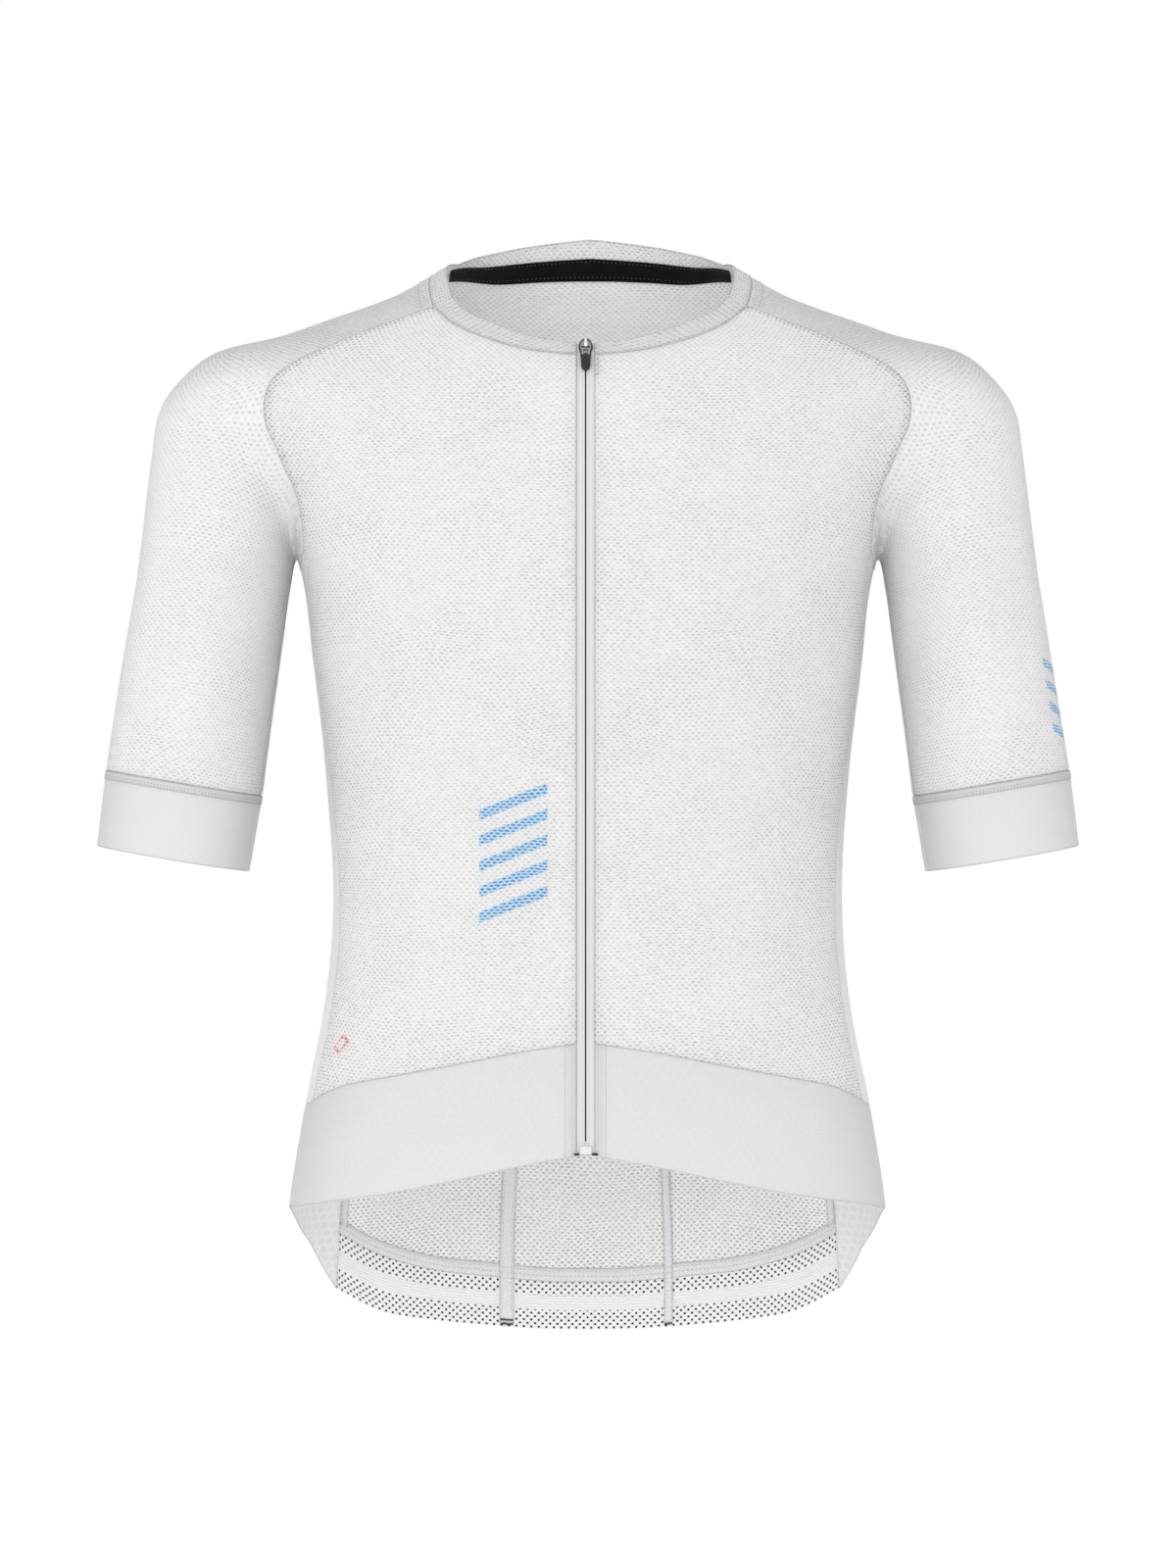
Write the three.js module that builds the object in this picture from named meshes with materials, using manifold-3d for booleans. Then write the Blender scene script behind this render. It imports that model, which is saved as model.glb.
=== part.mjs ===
// Short-sleeved cycling jersey with a full front zip, filled out as if worn, with
// nobody inside. Every piece of cloth is a thin wall on one smooth general figure.
// Millimetres, +Z up, the front faces -Y and the wearer's left is +X. The origin
// lies between the shoulders, where the wearer holds the garment up.
import * as THREE from 'three';
import { mergeVertices } from 'three/addons/utils/BufferGeometryUtils.js';
import Module from 'manifold-3d';

const wasm = await Module();
wasm.setup();

// Cloth
const CLOTH = 1.2;
const SEAM_GAP = 0.3;
const LAYER_GAP = 0.3;
const POCKET_CLOTH = 1.0;
const TAPE_CLOTH = 0.8;

// Colours
const KNIT_WHITE = 0xecebe8;
const SMOOTH_WHITE = 0xe2e1e2;
const CUFF_GREY = 0xdedce1;
const GRIPPER_GREY = 0xcfcfd6;
const TAPE_BLACK = 0x151518;
const ZIP_GREY = 0xd6d5d8;
const COIL_GREY = 0x3a3a3e;
const GUNMETAL = 0x4c4d50;
const PULL_GREY = 0x2c2d30;

// Trunk: level, half width, depth in front of and behind its widest line,
// how far back that line lies, and how square the ring is.
const TRUNK = [
  // z, half, front, back, middle, power
  [-700, 196.0, 117.0, 125.0, 0, 2.3],
  [-640, 195.0, 117.0, 124.0, 0, 2.3],
  [-583, 191.3, 116.0, 120.0, 0, 2.3],
  [-520, 181.0, 113.0, 112.0, 0, 2.3],
  [-460, 169.5, 110.0, 103.0, 0, 2.3],
  [-394, 163.4, 109.0, 98.0, 0, 2.3],
  [-310, 167.6, 113.0, 104.0, 0, 2.3],
  [-240, 175.6, 118.0, 113.0, 0, 2.3],
  [-180, 183.5, 118.5, 119.5, 0, 2.3],
  [-130, 200.0, 114.0, 121.0, 0, 2.3],
  [-90, 224.0, 106.0, 119.0, 0, 2.3],
  [-62, 240.0, 98.0, 114.0, 0, 2.3],
  [-40, 226.0, 87.0, 106.0, 2, 2.2],
  [-20, 177.0, 76.0, 95.0, 6, 2.15],
  [-10, 149.0, 71.0, 87.0, 9, 2.1],
  [0, 124.5, 66.0, 80.0, 12, 2.1],
  [10, 107.5, 59.5, 73.0, 14, 2.1],
  [20, 91.0, 53.0, 68.0, 16, 2.1],
  [40, 75.0, 48.0, 62.0, 18, 2.1],
  [60, 70.0, 44.0, 58.0, 18, 2.1],
];

// Arm: its axis, its half width at shares of the way down, and how much deeper
// than wide it is.
const ARM_TOP = new THREE.Vector3(227.6, 6, -94);
const ARM_END = new THREE.Vector3(265.8, -18, -368);
const ARM = [
  // share, half
  [-0.5, 51.0],
  [0, 51.0],
  [0.15, 50.5],
  [0.35, 49.0],
  [0.55, 49.8],
  [0.8, 50.8],
  [1.0, 49.2],
  [1.5, 49.2],
];
const ARM_DEEP = 1.12;
// The arm runs into the trunk in a soft hollow, tight in the armpit.
const ARMPIT_BLEND = 5;
const SHOULDER_BLEND = 29;
const BLEND_FROM_Z = -165;
const BLEND_TO_Z = -95;

// Seams that show in front are given as seen from this point, in millimetres on
// the plane through the origin.
const EYE = new THREE.Vector3(1.5, -3500, -315);

// Lines that look for the figure start this far out, or this far from the middle
// inside the trunk, and run on in steps that are then halved.
const CLEAR_OF_FIGURE = 190;
const WITHIN_TRUNK_X = 60;
const RUN_STEP = 3;
const LONGEST_RUN = 400;
const HALVINGS = 24;

const ZIP_SIDE = 5.9;
const COLLAR_FRONT_SEAM = [
  // x, z
  [ZIP_SIDE, -39],
  [24, -37.3],
  [44, -34],
  [65, -28.2],
  [87, -19],
  [101, -8],
];
const COLLAR_FRONT_EDGE = [
  // x, z
  [ZIP_SIDE, -31.5],
  [20, -30],
  [40, -26],
  [62, -18.5],
  [80, -10.5],
  [89, -2],
];
const FRONT_RAGLAN = [
  // x, z
  [101, -8],
  [107, -9.5],
  [123, -15.5],
  [149, -25],
  [168, -33],
  [189, -43],
  [201, -52],
  [206.5, -62],
  [208, -75],
  [206, -86],
  [201, -97],
  [194.5, -113],
  [187.5, -130],
  [184, -150],
  [183, -165],
];
const BAND_FRONT_TOP = [
  // x, z
  [ZIP_SIDE, -482],
  [45, -488],
  [87, -496],
  [129, -503.5],
  [157, -509],
];
const BAND_FRONT_EDGE = [
  // x, z
  [ZIP_SIDE, -554],
  [48, -562],
  [90, -571],
  [130, -578.5],
  [160, -582.5],
];
// Seams of the shoulder and the back, in true places.
const COLLAR_SIDE_SEAM = [
  // x, y, z
  [103, -24, 1],
  [104, -8, 9],
  [102, 16, 14],
];
const COLLAR_SIDE_EDGE = [
  // x, y, z
  [92, -23, 8],
  [92.5, -8, 15],
  [91, 16, 21],
];
const COLLAR_BACK_SEAM = [
  // x, z
  [97, 14.5],
  [84, 19],
  [60, 24],
  [32, 28],
  [0, 30],
];
const COLLAR_BACK_EDGE = [
  // x, z
  [86, 22],
  [76, 27],
  [58, 33],
  [32, 38.5],
  [0, 42.5],
];
const BACK_RAGLAN = [
  // x, z
  [97, 14.5],
  [115, 2],
  [140, -9],
  [165, -20],
  [186, -32],
  [199, -44],
  [205, -58],
  [206, -74],
  [203, -90],
  [197, -107],
  [190, -126],
  [185, -147],
  [183, -165],
];
const UNDERARM = [
  // x, y, z
  [183.5, -17, -175],
  [184.5, 0, -179],
  [183.5, 17, -175],
];
const FRONT_SIDE_SEAM = [
  // y, z
  [-28, -200],
  [-26, -240],
  [-28, -300],
  [-33, -350],
  [-36, -420],
  [-36, -470],
  [-34, -517],
];
const BACK_SIDE_SEAM = [
  // y, z
  [36, -200],
  [40, -250],
  [44, -300],
  [52, -394],
  [60, -460],
  [67, -520],
  [72, -570],
];
const BAND_SIDE_TOP = [
  // y, z
  [-34, -517],
  [0, -524],
  [40, -545],
  [72, -570],
];
const BAND_SIDE_EDGE = [
  // y, z
  [-36, -584],
  [0, -587],
  [25, -594],
  [41, -605],
  [54, -616],
  [65, -631],
  [75, -646],
];
const BAND_BACK_SEAM = [
  // y, z
  [72, -570],
  [74, -604],
  [75, -646],
];
const GRIPPER_TOP = [
  // x, z, from the band to the pocket seam and on to the middle
  [142, -618],
  [109, -630],
  [54, -638],
  [28, -640.5],
  [0, -641],
];
const HEM_BACK = [
  // x, z
  [134, -664],
  [102, -670.5],
  [54, -676],
  [28, -677.5],
  [0, -678],
];
// Heights of the back's middle at the gripper, the band's top, the armpit and the collar.
const BACK_MIDDLE_Z = [-641, -606, -190, 30];
// The pockets' inner division: how far from the middle at the hem and the collar.
const POCKET_SEAM_HEM_X = 54;
const POCKET_SEAM_COLLAR_X = 32;

const POCKET_ROWS = 5;
// The tape inside the back of the neck, as seen through the neck.
const NECK_TAPE_TOP = [
  // x, z
  [88, 16.6],
  [65, 18],
  [34, 20.5],
  [0, 22.5],
];
const NECK_TAPE_FOOT = [
  // x, z
  [88, 9.2],
  [60, 7],
  [34, 8],
  [0, 8.5],
];
const NECK_TAPE_STEPS = 10;
const NECK_TAPE_CLEARANCE = 0.9;

// Sleeve: heights of the cuff's hem on the outside and the inside of the arm.
const CUFF_HEM = [-354, -370.5];
const CUFF_WIDE = 98;
const CUFF_DEEP = 48;
// Planes that cut the sleeve's upper rings fan out about this line under the arm;
// each ring's middle lies farther out as its plane lifts.
const FAN_LINE = new THREE.Vector3(190, 0, -185);
const FAN_REACH = 50;
const FAN_REACH_GROWTH = 20;

// Zip: the tapes' edges, the coil, and the hardware as seen in front.
const TAPE_OUT = -CLOTH - LAYER_GAP;
const TAPE_INNER_X = 0.5;
const TAPE_OPEN_X = 2.2;
const TAPE_OUTER_X = 10.5;
const COIL_WIDE = 4.2;
const COIL_DEEP = 1.3;
const COIL_OUT = TAPE_OUT - TAPE_CLOTH - LAYER_GAP;
const STOP_SEEN_Z = -550.5;
const STOP_BLOCK = [[-3.7, -2.6, TAPE_OUT + LAYER_GAP], [3.7, 2.6, 0.4]];
const SLIDER_SEEN_Z = -34;
const SLIDER_BLOCKS = [
  // low corner, high corner: front plate, its narrow end, back plate, post, bridge, its two feet, nub
  [[-4.5, -3.5, -1.2], [4.5, 6.5, 0.4]],
  [[-3.4, -6.5, -1.2], [3.4, -3.4, 0.4]],
  [[-4.2, -6.0, -5.8], [4.2, 6.5, -4.8]],
  [[-1.4, 5.0, -5.0], [1.4, 6.4, -1.0]],
  [[-0.8, -4.6, 2.7], [0.8, 1.6, 3.6]],
  [[-0.8, -4.6, 0.2], [0.8, -3.7, 2.8]],
  [[-0.8, 0.7, 0.2], [0.8, 1.6, 2.8]],
  [[-1.3, 3.4, 0.2], [1.3, 5.8, 1.6]],
];
// Pull tab, from its bar down; its axis is given up the zip and out from it.
const PULL_AXIS = [-2.6, 1.5];
const PULL_LEAN = THREE.MathUtils.degToRad(5);
const PULL = {
  barTop: 0.6,
  barFoot: -0.6,
  eyeHalf: 1.25,
  neckHalf: 2.6,
  half: 3.35,
  eyeEnd: -5.0,
  shoulder: -4.6,
  end: -15.9,
  thick: 1.2,
};
// Pockets: node, and the columns of the back between which each lies.
const POCKETS = [
  // name, from, to
  ['pocket_left', 1, 5],
  ['pocket_middle', 5, 11],
  ['pocket_right', 11, 15],
];

// Samples along each stretch of seam, shared by the pieces on its two sides.
const STEPS = {
  collarFront: 8,
  collarSide: 4,
  collarInner: 3,
  collarOuter: 5,
  raglan: 12,
  underarm: 4,
  side: 11,
  bandUpper: 2,
  gripper: 2,
  collarDeep: 2,
  cuffDeep: 3,
  sleeve: 5,
  shoulder: 9,
};

// The cloth sits a little to the wearer's left of the zip, the neck more than the rest:
// how far, over which levels, and how the zip's own place is kept.
const ASIDE = 1.2;
const ASIDE_NECK = 1.8;
const ASIDE_NECK_Z = [-70, 0];
const ASIDE_FROM_ZIP = [12, 75];
const ASIDE_BEHIND_Y = [-20, 30];

// Soft creases: the line's two ends, how wide and how deep it is. A fold with a
// negative depth stands out.
const FOLDS = [
  // x1, y1, z1, x2, y2, z2, width, depth
  [150, -60, -322, 172, -20, -352, 9, 1.6],
  [140, -75, -405, 166, -30, -418, 8, 1.2],
  [172, -45, -182, 120, -95, -215, 11, 1.5],
  [-172, -45, -182, -122, -95, -212, 11, 1.4],
  [-168, -40, -330, -140, -75, -362, 10, 1.0],
  [20, -112, -300, 16, -110, -470, 9, 0.9],
  [-20, -112, -250, -15, -110, -440, 9, 0.8],
  [250, -55, -120, 262, -60, -190, 12, 1.2],
  [-250, -55, -120, -264, -60, -200, 12, 1.3],
  [-60, 112, -520, -20, 112, -600, 12, 1.8],
  [70, 108, -560, 38, 114, -618, 12, 1.6],
  [-120, 96, -300, -40, 104, -340, 16, 1.6],
  [120, 96, -290, 50, 104, -345, 16, 1.5],
];

const point = (x, y, z) => new THREE.Vector3(x, y, z);
const clamp01 = (value) => Math.min(Math.max(value, 0), 1);

function smoothStep(from, to, value) {
  const share = clamp01((value - from) / (to - from));
  return share * share * (3 - 2 * share);
}

// A smooth reading of a table whose first column rises.
function smoothTable(rows) {
  const last = rows.length - 1;
  const slopes = rows.map((row, i) => row.map((value, column) => {
    const slope = (a) => (rows[a + 1][column] - rows[a][column]) / (rows[a + 1][0] - rows[a][0]);
    if (i === 0) return slope(0);
    if (i === last) return slope(last - 1);
    const before = rows[i][0] - rows[i - 1][0];
    const after = rows[i + 1][0] - rows[i][0];
    return (slope(i - 1) * after + slope(i) * before) / (before + after);
  }));
  return (key) => {
    const at = Math.min(Math.max(key, rows[0][0]), rows[last][0]);
    let i = 0;
    while (i < last - 1 && at >= rows[i + 1][0]) i += 1;
    const span = rows[i + 1][0] - rows[i][0];
    const s = (at - rows[i][0]) / span;
    const first = (1 + 2 * s) * (1 - s) * (1 - s);
    const second = s * s * (3 - 2 * s);
    const leave = s * (1 - s) * (1 - s) * span;
    const arrive = s * s * (s - 1) * span;
    return rows[i].map((value, column) => first * value + second * rows[i + 1][column]
      + leave * slopes[i][column] + arrive * slopes[i + 1][column]);
  };
}

const trunkAt = smoothTable(TRUNK);

function trunkRadial(p) {
  const [, half, front, back, middle, power] = trunkAt(p.z);
  const y = p.y - middle;
  const depth = y < 0 ? front : back;
  const share = (Math.abs(p.x / half) ** power + Math.abs(y / depth) ** power) ** (1 / power);
  return Math.hypot(p.x, y) * (1 - 1 / Math.max(share, 1e-6));
}

function slopeOf(field, p, step = 0.5) {
  const along = (...move) => {
    const shift = point(...move);
    return field(p.clone().add(shift)) - field(p.clone().sub(shift));
  };
  return point(along(step, 0, 0), along(0, step, 0), along(0, 0, step)).divideScalar(2 * step);
}

function trunkDistance(p) {
  return trunkRadial(p) / Math.max(slopeOf(trunkRadial, p).length(), 0.3);
}

const ARM_AXIS = ARM_END.clone().sub(ARM_TOP).normalize();
const ARM_LENGTH = ARM_END.distanceTo(ARM_TOP);
const ARM_BACK = point(0, 1, 0).addScaledVector(ARM_AXIS, -ARM_AXIS.y).normalize();

function armHalf(share) {
  let i = 0;
  while (i < ARM.length - 2 && share > ARM[i + 1][0]) i += 1;
  const [from, halfFrom] = ARM[i];
  const [to, halfTo] = ARM[i + 1];
  return halfFrom + (halfTo - halfFrom) * clamp01((share - from) / (to - from));
}

function armDistance(p) {
  const reach = point(Math.abs(p.x), p.y, p.z).sub(ARM_TOP);
  const down = Math.max(reach.dot(ARM_AXIS), 0);
  const across = reach.addScaledVector(ARM_AXIS, -down);
  across.addScaledVector(ARM_BACK, across.dot(ARM_BACK) * (1 / ARM_DEEP - 1));
  return across.length() - armHalf(down / ARM_LENGTH);
}

// The figure: below zero inside, above zero outside.
function figure(p) {
  const trunk = trunkDistance(p);
  const arm = armDistance(p);
  const blend = ARMPIT_BLEND + (SHOULDER_BLEND - ARMPIT_BLEND) * smoothStep(BLEND_FROM_Z, BLEND_TO_Z, p.z);
  const share = clamp01(0.5 + 0.5 * (arm - trunk) / blend);
  return arm * (1 - share) + trunk * share - blend * share * (1 - share);
}

const outward = (p) => slopeOf(figure, p).normalize();

// Moves a point straight onto the figure.
function settle(p) {
  const at = p.clone();
  for (let i = 0; i < 7; i += 1) {
    const slope = slopeOf(figure, at);
    at.addScaledVector(slope, -figure(at) / Math.max(slope.lengthSq(), 0.2));
  }
  return at;
}

// Where a line that starts outside the figure first meets it, or one that starts
// inside first leaves it.
function meet(start, direction) {
  const step = RUN_STEP;
  const way = direction.clone().normalize();
  const inside = figure(start) < 0;
  let near = 0;
  let far = step;
  const isPast = (run) => (figure(start.clone().addScaledVector(way, run)) < 0) !== inside;
  while (!isPast(far) && far < LONGEST_RUN) {
    near = far;
    far += step;
  }
  for (let i = 0; i < HALVINGS; i += 1) {
    const middle = (near + far) / 2;
    if (isPast(middle)) far = middle;
    else near = middle;
  }
  return start.clone().addScaledVector(way, (near + far) / 2);
}

function seenInFront([x, z]) {
  const way = point(x, 0, z).sub(EYE);
  const start = EYE.clone().addScaledVector(way, (way.length() - CLEAR_OF_FIGURE) / way.length());
  return meet(start, way);
}

// The back of the figure where it shows through the neck.
function seenInBack([x, z]) {
  const way = point(x, 0, z).sub(EYE);
  const start = EYE.clone().addScaledVector(way, (way.length() + CLEAR_OF_FIGURE) / way.length());
  return meet(start, way.negate());
}

const onBack = ([x, z]) => meet(point(x, CLEAR_OF_FIGURE, z), point(0, -1, 0));
const onSide = ([y, z]) => meet(point(WITHIN_TRUNK_X, y, z), point(1, 0, 0));
const near = ([x, y, z]) => settle(point(x, y, z));

// Evenly spaced points on a smooth curve through the given ones, on the figure.
function seam(points, steps) {
  const keys = [0];
  for (let i = 1; i < points.length; i += 1) keys.push(keys[i - 1] + points[i].distanceTo(points[i - 1]));
  const curve = smoothTable(points.map((p, i) => [keys[i], p.x, p.y, p.z]));
  const fine = 240;
  const dots = [];
  for (let i = 0; i <= fine; i += 1) {
    const [, x, y, z] = curve(keys[keys.length - 1] * i / fine);
    dots.push(point(x, y, z));
  }
  const lengths = [0];
  for (let i = 1; i <= fine; i += 1) lengths.push(lengths[i - 1] + dots[i].distanceTo(dots[i - 1]));
  const samples = [];
  for (let k = 0; k <= steps; k += 1) {
    const want = lengths[fine] * k / steps;
    let i = 0;
    while (i < fine - 1 && lengths[i + 1] < want) i += 1;
    const share = (want - lengths[i]) / (lengths[i + 1] - lengths[i]);
    samples.push(settle(dots[i].clone().lerp(dots[i + 1], share)));
  }
  return samples;
}

const join = (first, ...runs) => runs.reduce((all, run) => all.concat(run.slice(1)), first);
const reversed = (run) => run.slice().reverse();

// A grid of points between four seams that meet at its corners.
function patch(bottom, top, left, right) {
  const columns = bottom.length - 1;
  const rows = left.length - 1;
  const corners = (u, v) => bottom[0].clone().multiplyScalar((1 - u) * (1 - v))
    .addScaledVector(bottom[columns], u * (1 - v)).addScaledVector(top[0], (1 - u) * v)
    .addScaledVector(top[columns], u * v);
  return left.map((l, j) => bottom.map((b, i) => {
    if (j === 0) return b;
    if (j === rows) return top[i];
    if (i === 0) return l;
    if (i === columns) return right[j];
    const u = i / columns;
    const v = j / rows;
    const at = b.clone().multiplyScalar(1 - v).addScaledVector(top[i], v)
      .addScaledVector(l, 1 - u).addScaledVector(right[j], u).sub(corners(u, v));
    return settle(at);
  }));
}

// Depth of the soft creases at a point, measured outward.
function creaseAt(p) {
  let depth = 0;
  for (const [x1, y1, z1, x2, y2, z2, width, deep] of FOLDS) {
    const start = point(x1, y1, z1);
    const along = point(x2, y2, z2).sub(start);
    const share = clamp01(p.clone().sub(start).dot(along) / along.lengthSq());
    const away = p.distanceTo(start.addScaledVector(along, share));
    const ends = Math.sin(Math.PI * (0.15 + 0.7 * share));
    depth -= deep * ends * Math.exp(-((away / width) ** 2));
  }
  return depth;
}

function setAside(p) {
  const share = Math.max(smoothStep(...ASIDE_FROM_ZIP, Math.abs(p.x)), smoothStep(...ASIDE_BEHIND_Y, p.y));
  return p.setX(p.x + share * (ASIDE + ASIDE_NECK * smoothStep(...ASIDE_NECK_Z, p.z)));
}

// Moves a grid's edges in by half the seam gap.
function trimmed(grid, isTube) {
  const rows = grid.length;
  const columns = grid[0].length;
  const isEdge = (j, i) => j === 0 || j === rows - 1 || (!isTube && (i === 0 || i === columns - 1));
  const step = (j, i, dj, di) => {
    const wrap = (k) => (isTube ? (k + columns) % columns : Math.min(Math.max(k, 0), columns - 1));
    const row = Math.min(Math.max(j + dj, 0), rows - 1);
    return grid[row][wrap(i + di)].clone();
  };
  return grid.map((line, j) => line.map((p, i) => {
    if (!isEdge(j, i)) return p;
    const normal = outward(p);
    const shift = point(0, 0, 0);
    const pushAcross = (tangent, inner) => {
      const inward = tangent.cross(normal).normalize();
      const sign = Math.sign(inward.dot(inner.sub(p)));
      shift.addScaledVector(inward, sign * SEAM_GAP / 2);
    };
    if (j === 0) pushAcross(step(j, i, 0, 1).sub(step(j, i, 0, -1)), step(j, i, 1, 0));
    if (j === rows - 1) pushAcross(step(j, i, 0, 1).sub(step(j, i, 0, -1)), step(j, i, -1, 0));
    if (!isTube && i === 0) pushAcross(step(j, i, 1, 0).sub(step(j, i, -1, 0)), step(j, i, 0, 1));
    if (!isTube && i === columns - 1) {
      pushAcross(step(j, i, 1, 0).sub(step(j, i, -1, 0)), step(j, i, 0, -1));
    }
    return p.clone().add(shift);
  }));
}

// A closed wall: the grid moved out by a height, a skin below it and its edges.
function wall(grid, { out = 0, thick = CLOTH, isTube = false } = {}) {
  const rows = grid.length;
  const columns = grid[0].length;
  const places = [];
  const moved = (depth) => grid.forEach((line) => line.forEach((p) => {
    const height = out - depth + creaseAt(p);
    places.push(...setAside(p.clone().addScaledVector(outward(p), height)).toArray());
  }));
  moved(0);
  moved(thick);
  const inner = rows * columns;
  const at = (j, i) => j * columns + (i % columns);
  const spot = (index) => point(...places.slice(3 * index, 3 * index + 3));
  const acrossEnd = isTube ? columns : columns - 1;
  const faces = [];
  for (let j = 0; j < rows - 1; j += 1) {
    for (let i = 0; i < acrossEnd; i += 1) {
      const [a, b, c, d] = [at(j, i), at(j, i + 1), at(j + 1, i + 1), at(j + 1, i)];
      const isShort = spot(a).distanceTo(spot(c)) <= spot(b).distanceTo(spot(d));
      const halves = isShort ? [[a, b, c], [a, c, d]] : [[a, b, d], [b, c, d]];
      for (const [p, q, r] of halves) faces.push([p, q, r], [inner + r, inner + q, inner + p]);
    }
  }
  const closeEdge = (a, b) => faces.push([a, inner + a, inner + b], [a, inner + b, b]);
  for (let i = 0; i < acrossEnd; i += 1) {
    closeEdge(at(0, i), at(0, i + 1));
    closeEdge(at(rows - 1, i + 1), at(rows - 1, i));
  }
  if (!isTube) {
    for (let j = 0; j < rows - 1; j += 1) {
      closeEdge(at(j + 1, 0), at(j, 0));
      closeEdge(at(j, columns - 1), at(j + 1, columns - 1));
    }
  }
  const middle = [Math.floor(rows / 2) - 1, Math.floor(columns / 2) - 1].map((k) => Math.max(k, 0));
  const [p, q, r] = [at(...middle), at(middle[0], middle[1] + 1), at(middle[0] + 1, middle[1])].map(spot);
  const isOut = q.sub(p).cross(r.clone().sub(p)).dot(outward(p)) > 0;
  const geometry = new THREE.BufferGeometry();
  geometry.setAttribute('position', new THREE.Float32BufferAttribute(places, 3));
  geometry.setIndex(faces.flatMap((face) => (isOut ? face : face.slice().reverse())));
  return geometry;
}

const mirroredPoint = (p) => point(-p.x, p.y, p.z);
const mirrored = (grid) => grid.map((line) => line.map(mirroredPoint));

// Seams of the wearer's left half; the right half mirrors them.
const neckFront = seenInFront(FRONT_RAGLAN[0]);
const neckBack = onBack(BACK_RAGLAN[0]);
const armFront = seenInFront(FRONT_RAGLAN[FRONT_RAGLAN.length - 1]);
const armBack = onBack(BACK_RAGLAN[BACK_RAGLAN.length - 1]);
const hipFront = onSide(BAND_SIDE_TOP[0]);
const hemFront = onSide(BAND_SIDE_EDGE[0]);
const collarFrontSeam = seam(COLLAR_FRONT_SEAM.map(seenInFront), STEPS.collarFront);
const collarFrontEdge = seam(COLLAR_FRONT_EDGE.map(seenInFront), STEPS.collarFront);
const collarSideSeam = seam([neckFront, ...COLLAR_SIDE_SEAM.map(near), neckBack], STEPS.collarSide);
const collarBackSeam = pocketSplit(COLLAR_BACK_SEAM.map(onBack), POCKET_SEAM_COLLAR_X);
const collarBackCorner = onBack(COLLAR_BACK_EDGE[0]);
const collarSideEdge = seam(
  [collarFrontEdge[STEPS.collarFront], ...COLLAR_SIDE_EDGE.map(near), collarBackCorner],
  STEPS.collarSide,
);
const collarBackEdge = pocketSplit(COLLAR_BACK_EDGE.map(onBack), POCKET_SEAM_COLLAR_X);
const frontRaglan = seam(FRONT_RAGLAN.map(seenInFront), STEPS.raglan);
const backRaglan = seam(BACK_RAGLAN.map(onBack), STEPS.raglan);
const underarm = seam([armFront, ...UNDERARM.map(near), armBack], STEPS.underarm);
const frontSide = seam([armFront, ...FRONT_SIDE_SEAM.map(onSide)], STEPS.side);
const backSide = seam([armBack, ...BACK_SIDE_SEAM.map(onSide)], STEPS.side);
const bandFrontTop = seam([...BAND_FRONT_TOP.map(seenInFront), hipFront], STEPS.collarFront);
const bandFrontEdge = seam([...BAND_FRONT_EDGE.map(seenInFront), hemFront], STEPS.collarFront);
const bandSideTop = seam(BAND_SIDE_TOP.map(onSide), STEPS.underarm);
const bandSideEdge = seam(BAND_SIDE_EDGE.map(onSide), STEPS.underarm);
const gripperCorner = onSide(BAND_BACK_SEAM[1]);
const hemCorner = onSide(BAND_BACK_SEAM[2]);
const bandBackUpper = seam([onSide(BAND_BACK_SEAM[0]), gripperCorner], STEPS.bandUpper);
const gripperEnd = seam([gripperCorner, hemCorner], STEPS.gripper);
const gripperTop = pocketSplit([gripperCorner, ...GRIPPER_TOP.map(onBack)], POCKET_SEAM_HEM_X);
const hemBack = pocketSplit([hemCorner, ...HEM_BACK.map(onBack)], POCKET_SEAM_HEM_X);
const zipFront = seam(
  [bandFrontTop[0], ...zipLine(bandFrontTop[0], collarFrontSeam[0]), collarFrontSeam[0]],
  STEPS.side + STEPS.raglan,
);
const zipBand = seam([bandFrontEdge[0], bandFrontTop[0]], STEPS.bandUpper + STEPS.gripper);

// Samples a back seam in two stretches that meet over the pockets' division.
function pocketSplit(points, x) {
  const split = points.findIndex((p) => p.x <= x + 1e-6);
  const outer = seam(points.slice(0, split + 1), STEPS.collarOuter);
  return join(outer, seam(points.slice(split), STEPS.collarInner));
}

// Points of the front edge beside the zip, between two of its ends.
function zipLine(low, high) {
  const stations = 8;
  const line = [];
  for (let k = 1; k < stations; k += 1) {
    const z = THREE.MathUtils.lerp(low.z, high.z, k / stations);
    line.push(meet(point(ZIP_SIDE, -CLEAR_OF_FIGURE, z), point(0, 1, 0)));
  }
  return line;
}

// Grids of the panels; rows run up the garment.
const frontGrid = patch(bandFrontTop, collarFrontSeam, zipFront,
  join(reversed(frontSide), reversed(frontRaglan)));
const sideGrid = patch(bandSideTop, underarm, reversed(frontSide), reversed(backSide));
const bandGrid = patch(join(bandFrontEdge, bandSideEdge), join(bandFrontTop, bandSideTop), zipBand,
  join(reversed(gripperEnd), reversed(bandBackUpper)));
const backHalf = patch(gripperTop, collarBackSeam,
  join(reversed(bandBackUpper), reversed(backSide), reversed(backRaglan)),
  middleLine(BACK_MIDDLE_Z, [STEPS.bandUpper, STEPS.side, STEPS.raglan]));
const gripperHalf = patch(hemBack, gripperTop, reversed(gripperEnd),
  middleLine([HEM_BACK.at(-1)[1], BACK_MIDDLE_Z[0]], [STEPS.gripper]));
const collarHalf = patch(join(collarFrontSeam, collarSideSeam, collarBackSeam),
  join(collarFrontEdge, collarSideEdge, collarBackEdge),
  seam([collarFrontSeam[0], collarFrontEdge[0]], STEPS.collarDeep),
  middleLine([BACK_MIDDLE_Z.at(-1), COLLAR_BACK_EDGE.at(-1)[1]], [STEPS.collarDeep]));

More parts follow.
